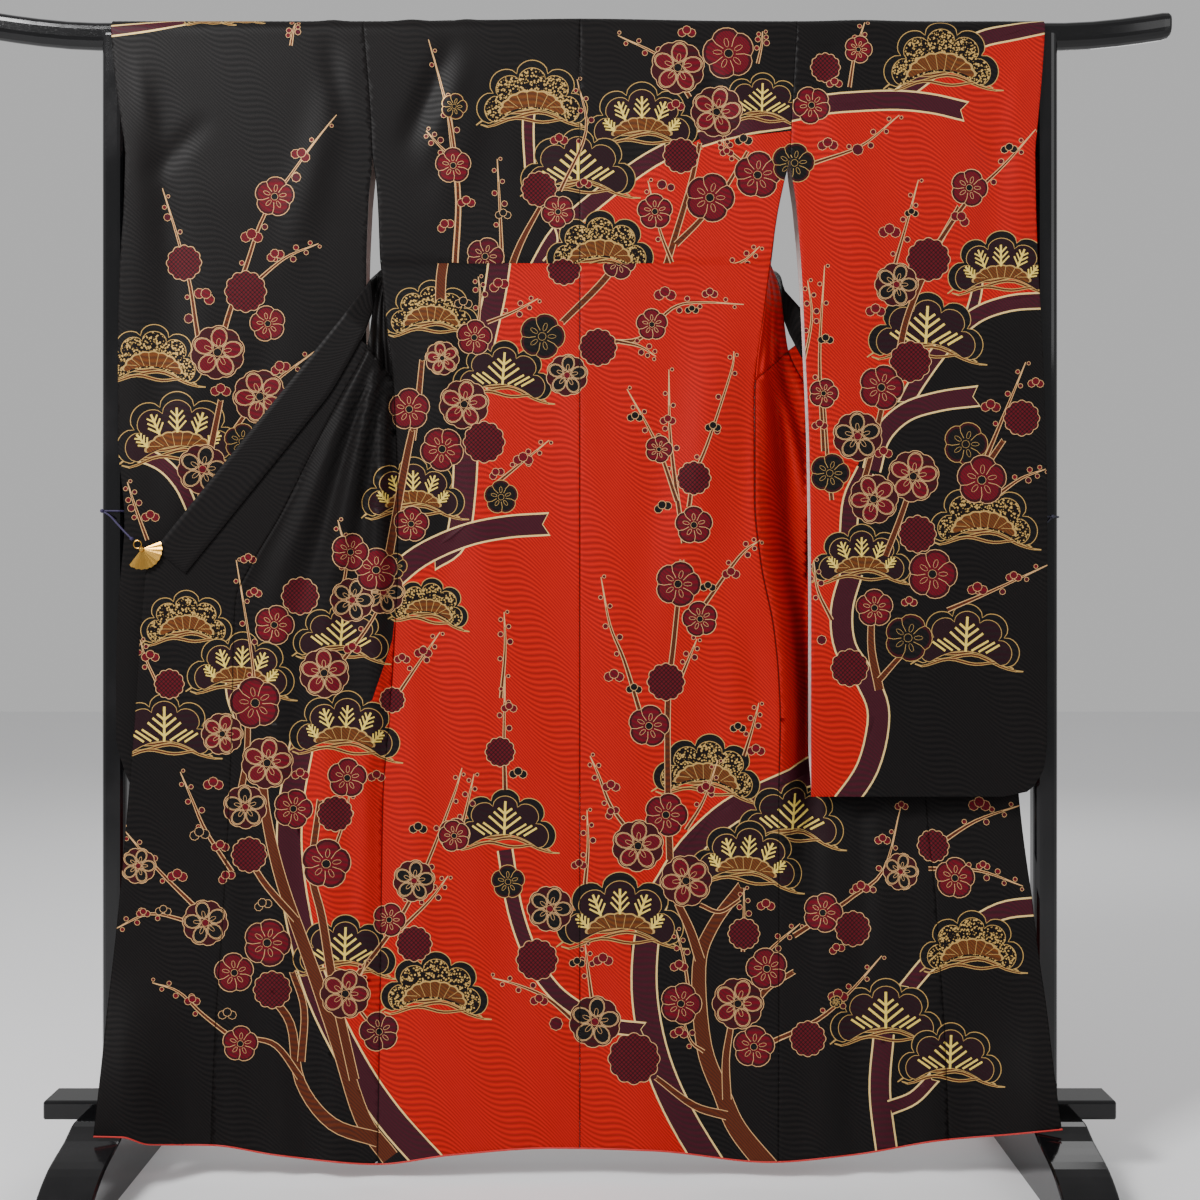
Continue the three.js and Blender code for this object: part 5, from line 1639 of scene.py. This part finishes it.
silk = printed_silk()
# Painted shade: the body lining's grey-green is the pale lining as it looks in the shade behind the
# armhole; below 600 mm along the cut it is the red of the hem lining
body_lining = plain_silk("body lining", linear(176, 190, 180), linear(196, 40, 26), 0.6)
sleeve_lining = plain_silk("sleeve lining", linear(228, 204, 198))
collar_inside = plain_silk("collar inside", linear(196, 40, 26))
red_edge = cord_silk("red edge", linear(188, 28, 20))
lacquer = lacquer_coat()
gilt = gilt_metal()
purple = cord_silk("purple cord", linear(26, 8, 62))
navy = cord_silk("navy cord", linear(10, 12, 40))


# Cords that tie the clip, and the far corner, to the uprights

CORD_RADIUS = 1.4
KNOT_RADIUS = 2.9
STRANDS = 3
TWIST_LENGTH = 9.0
CORD_AROUND = 12
LOOP_Z = {LEFT: 938, RIGHT: 930}
FAN_Y = -49.65
LEFT_TAIL = table("x y z", [
    (-676, -19.7, 938), (-664, -24, 931), (-652, -34, 921), (-636, -46, 907),
    (-625.5, FAN_Y, 897.5),
])
RIGHT_TAIL = table("x y z", [
    (669, -19.7, 930), (656, -19.7, 917), (645, -19.7, 910), (641.4, -12, 905), (641, 8, 900),
    (634, 17, 895), (606, 20, 889.5),
])


def twisted_tube(path, radius):
    """A tube of twisted strands along a path, its radius one number or one for each point."""
    run = np.gradient(path, axis=0)
    step = np.linalg.norm(run, axis=-1, keepdims=True)
    run = run / step
    across = np.cross(run, (0.0, 0.3, 1.0))
    across /= np.linalg.norm(across, axis=-1, keepdims=True)
    up = np.cross(across, run)
    length = np.cumsum(step)[:, None]
    angle = (np.arange(CORD_AROUND) * 2 * np.pi / CORD_AROUND)[None, :]
    relief = 0.9 + 0.1 * np.abs(np.cos(STRANDS * (angle - 2 * np.pi * length / TWIST_LENGTH) / 2))
    reach = (np.broadcast_to(radius, len(path))[:, None] * relief)[..., None]
    angle = angle[..., None]
    return path[:, None] + (across[:, None] * np.cos(angle) + up[:, None] * np.sin(angle)) * reach


def upright_loop(side):
    """A path once round an upright, with its rounded corners."""
    rounding = UPRIGHT_ROUND + CORD_RADIUS + SEAT_GAP

    def reach(width, share):
        """Distance from the middle across a width, at the sine or cosine of the way round."""
        straight = width / 2 - UPRIGHT_ROUND
        return np.sign(share) * straight * smooth(np.abs(share) * 6) + rounding * share

    a = np.linspace(0, 2 * np.pi, 81)
    x = side * UPRIGHT_X + reach(UPRIGHT_WIDTH, np.cos(a))
    return np.stack([x, reach(UPRIGHT_DEPTH, np.sin(a)), np.full_like(a, LOOP_Z[side])], axis=-1)


def knot(centre):
    """A path and its radii, which make a round knot about a centre."""
    t = np.linspace(-0.985, 0.985, 9)
    path = np.asarray(centre) + np.stack([t, 0 * t, 0 * t], axis=-1) * KNOT_RADIUS
    return path, KNOT_RADIUS * np.sqrt(1 - t ** 2)


def tied_cord(name, side, tail, material):
    """A cord round an upright and its tail, with a knot at each end of the tail."""
    points = np.stack(list(tail.values()), axis=-1)
    runs = [(upright_loop(side), CORD_RADIUS), (curve_through(points, 14), CORD_RADIUS)]
    runs += [knot(points[0] - (0, 1.5, 0)), knot(points[-1])]
    vertices = []
    faces = []
    start = 0
    for path, radius in runs:
        vertices.append(twisted_tube(path, radius).reshape(-1, 3))
        walls, foot, head = tube_faces(len(path), CORD_AROUND, start)
        faces += [*walls[:, [0, 3, 2, 1]].tolist(), foot[::-1].tolist(), head[::-1].tolist()]
        start += len(path) * CORD_AROUND
    return mesh_object(name, np.concatenate(vertices), faces, [material])


# Garment

pieces = {}
lower_print = print_shapes("lower")
upper_print = print_shapes("upper back")
outer = [silk, body_lining]
for side, word in ((LEFT, "left"), (RIGHT, "right")):
    lay_front = lay_hung(side, front_ends, front_y)
    lay_overlap = lay_hung(side, overlap_ends, overlap_y)
    sleeve_print = print_shapes(f"{word} sleeve")
    back_regions = [
        (back_outline(side, None, TUCK), lower_print),
        (back_outline(side, TUCK, RIDGE), upper_print),
    ]
    overlap_regions = [(hung_outline(side, overlap_ends), lower_print)]
    sleeve_regions = [
        (sleeve_outline(side, False), sleeve_print),
        (sleeve_outline(side, True), over_the_bar(sleeve_print)),
    ]
    pieces[f"back_{word}"] = panel_object(
        f"cloth_back_{word}", back_regions, lay_back, outer, ridge_shift=-SEAM_GAP / 2,
    )
    pieces[f"front_{word}"] = front_object(side, f"cloth_front_{word}", lower_print, outer)
    pieces[f"okumi_{word}"] = panel_object(f"cloth_overlap_{word}", overlap_regions, lay_overlap, outer)
    pieces[f"sleeve_{word}"] = panel_object(
        f"cloth_sleeve_{word}", sleeve_regions, lay_sleeve, [silk, sleeve_lining], seamed=False,
    )
    side_x = side * (side_edge[side](20) + SEAM_GAP)
    seam_x = side * inner_x(LAST_ROW)
    corner_x = side * (overlap_x[side](LAST_ROW) - 0.4)
    for node, lay, x_from, x_to in (
        (f"back_{word}", lay_back, side * SEAM_GAP, side_x - side * 2 * SEAM_GAP),
        (f"front_{word}", lay_front, side_x, seam_x - side * SEAM_GAP),
        (f"okumi_{word}", lay_overlap, seam_x + side * SEAM_GAP, corner_x),
    ):
        hem_roll(f"hem_roll_{node}", lay, x_from, x_to, red_edge)
pieces["collar"] = collar_object([silk, collar_inside])

for node, piece in pieces.items():
    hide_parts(node)
    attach(piece, "root")

cords = {
    "cord_left": (LEFT, LEFT_TAIL, purple, "purple_cord"),
    "cord_right": (RIGHT, RIGHT_TAIL, navy, "navy_cord"),
}
for node, (side, tail, material, slot_name) in cords.items():
    piece = tied_cord(f"tied_{node}", side, tail, material)
    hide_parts(node)
    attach(piece, "root")

LACQUERED = ("top_bar", "upright_left", "upright_right", "lower_board", "foot_left", "foot_right")
for node in (*LACQUERED, "fan_clip"):
    coats = bpy.data.objects[node].data.materials
    coats.clear()
    coats.append(lacquer if node in LACQUERED else gilt)


# Studio

FLOOR_REACH = 9000
pale = Shader("pale floor", Roughness=0.9, Base_Color=(0.86, 0.86, 0.87, 1)).material
floor_corners = np.array([(-1, -1, 0), (1, -1, 0), (1, 1, 0), (-1, 1, 0)]) * FLOOR_REACH
mesh_object("floor", floor_corners, [(0, 1, 2, 3)], [pale])


def soft_light(name, place, look_at, size, power):
    """A soft panel of light at a place, aimed at another and kept level."""
    lamp = bpy.data.lights.new(name, "AREA")
    lamp.shape = "RECTANGLE"
    lamp.size, lamp.size_y = size
    lamp.energy = power
    made = bpy.data.objects.new(name, lamp)
    made.location = place
    x, y, z = np.subtract(look_at, place)
    made.rotation_euler = (math.atan2(math.hypot(x, y), -z), 0, math.atan2(-x, y))
    bpy.context.collection.objects.link(made)


soft_light("key", (-1.9, -2.1, 3.1), (0, 0, 1.1), (1.0, 0.9), 150)
soft_light("fill", (2.6, -2.4, 2.5), (0, 0, 1.2), (2.0, 1.8), 26)
soft_light("rear", (0.6, 3.2, 2.8), (0, 0, 0.9), (3.0, 2.0), 40)

world = bpy.data.worlds.new("studio")
world.use_nodes = True
sky = world.node_tree.nodes["Background"].inputs
sky["Color"].default_value = (1, 1, 1, 1)
sky["Strength"].default_value = 0.52
bpy.context.scene.world = world

LENS = 46.2
SENSOR_WIDTH = 36
camera = bpy.data.objects.new("camera", bpy.data.cameras.new("camera"))
camera.data.lens = LENS
camera.data.sensor_width = SENSOR_WIDTH
camera.location = (EYE_X * MM, -EYE_DISTANCE * MM, EYE_Z * MM)
camera.rotation_euler = (math.pi / 2, 0, 0)
bpy.context.collection.objects.link(camera)
bpy.context.scene.camera = camera
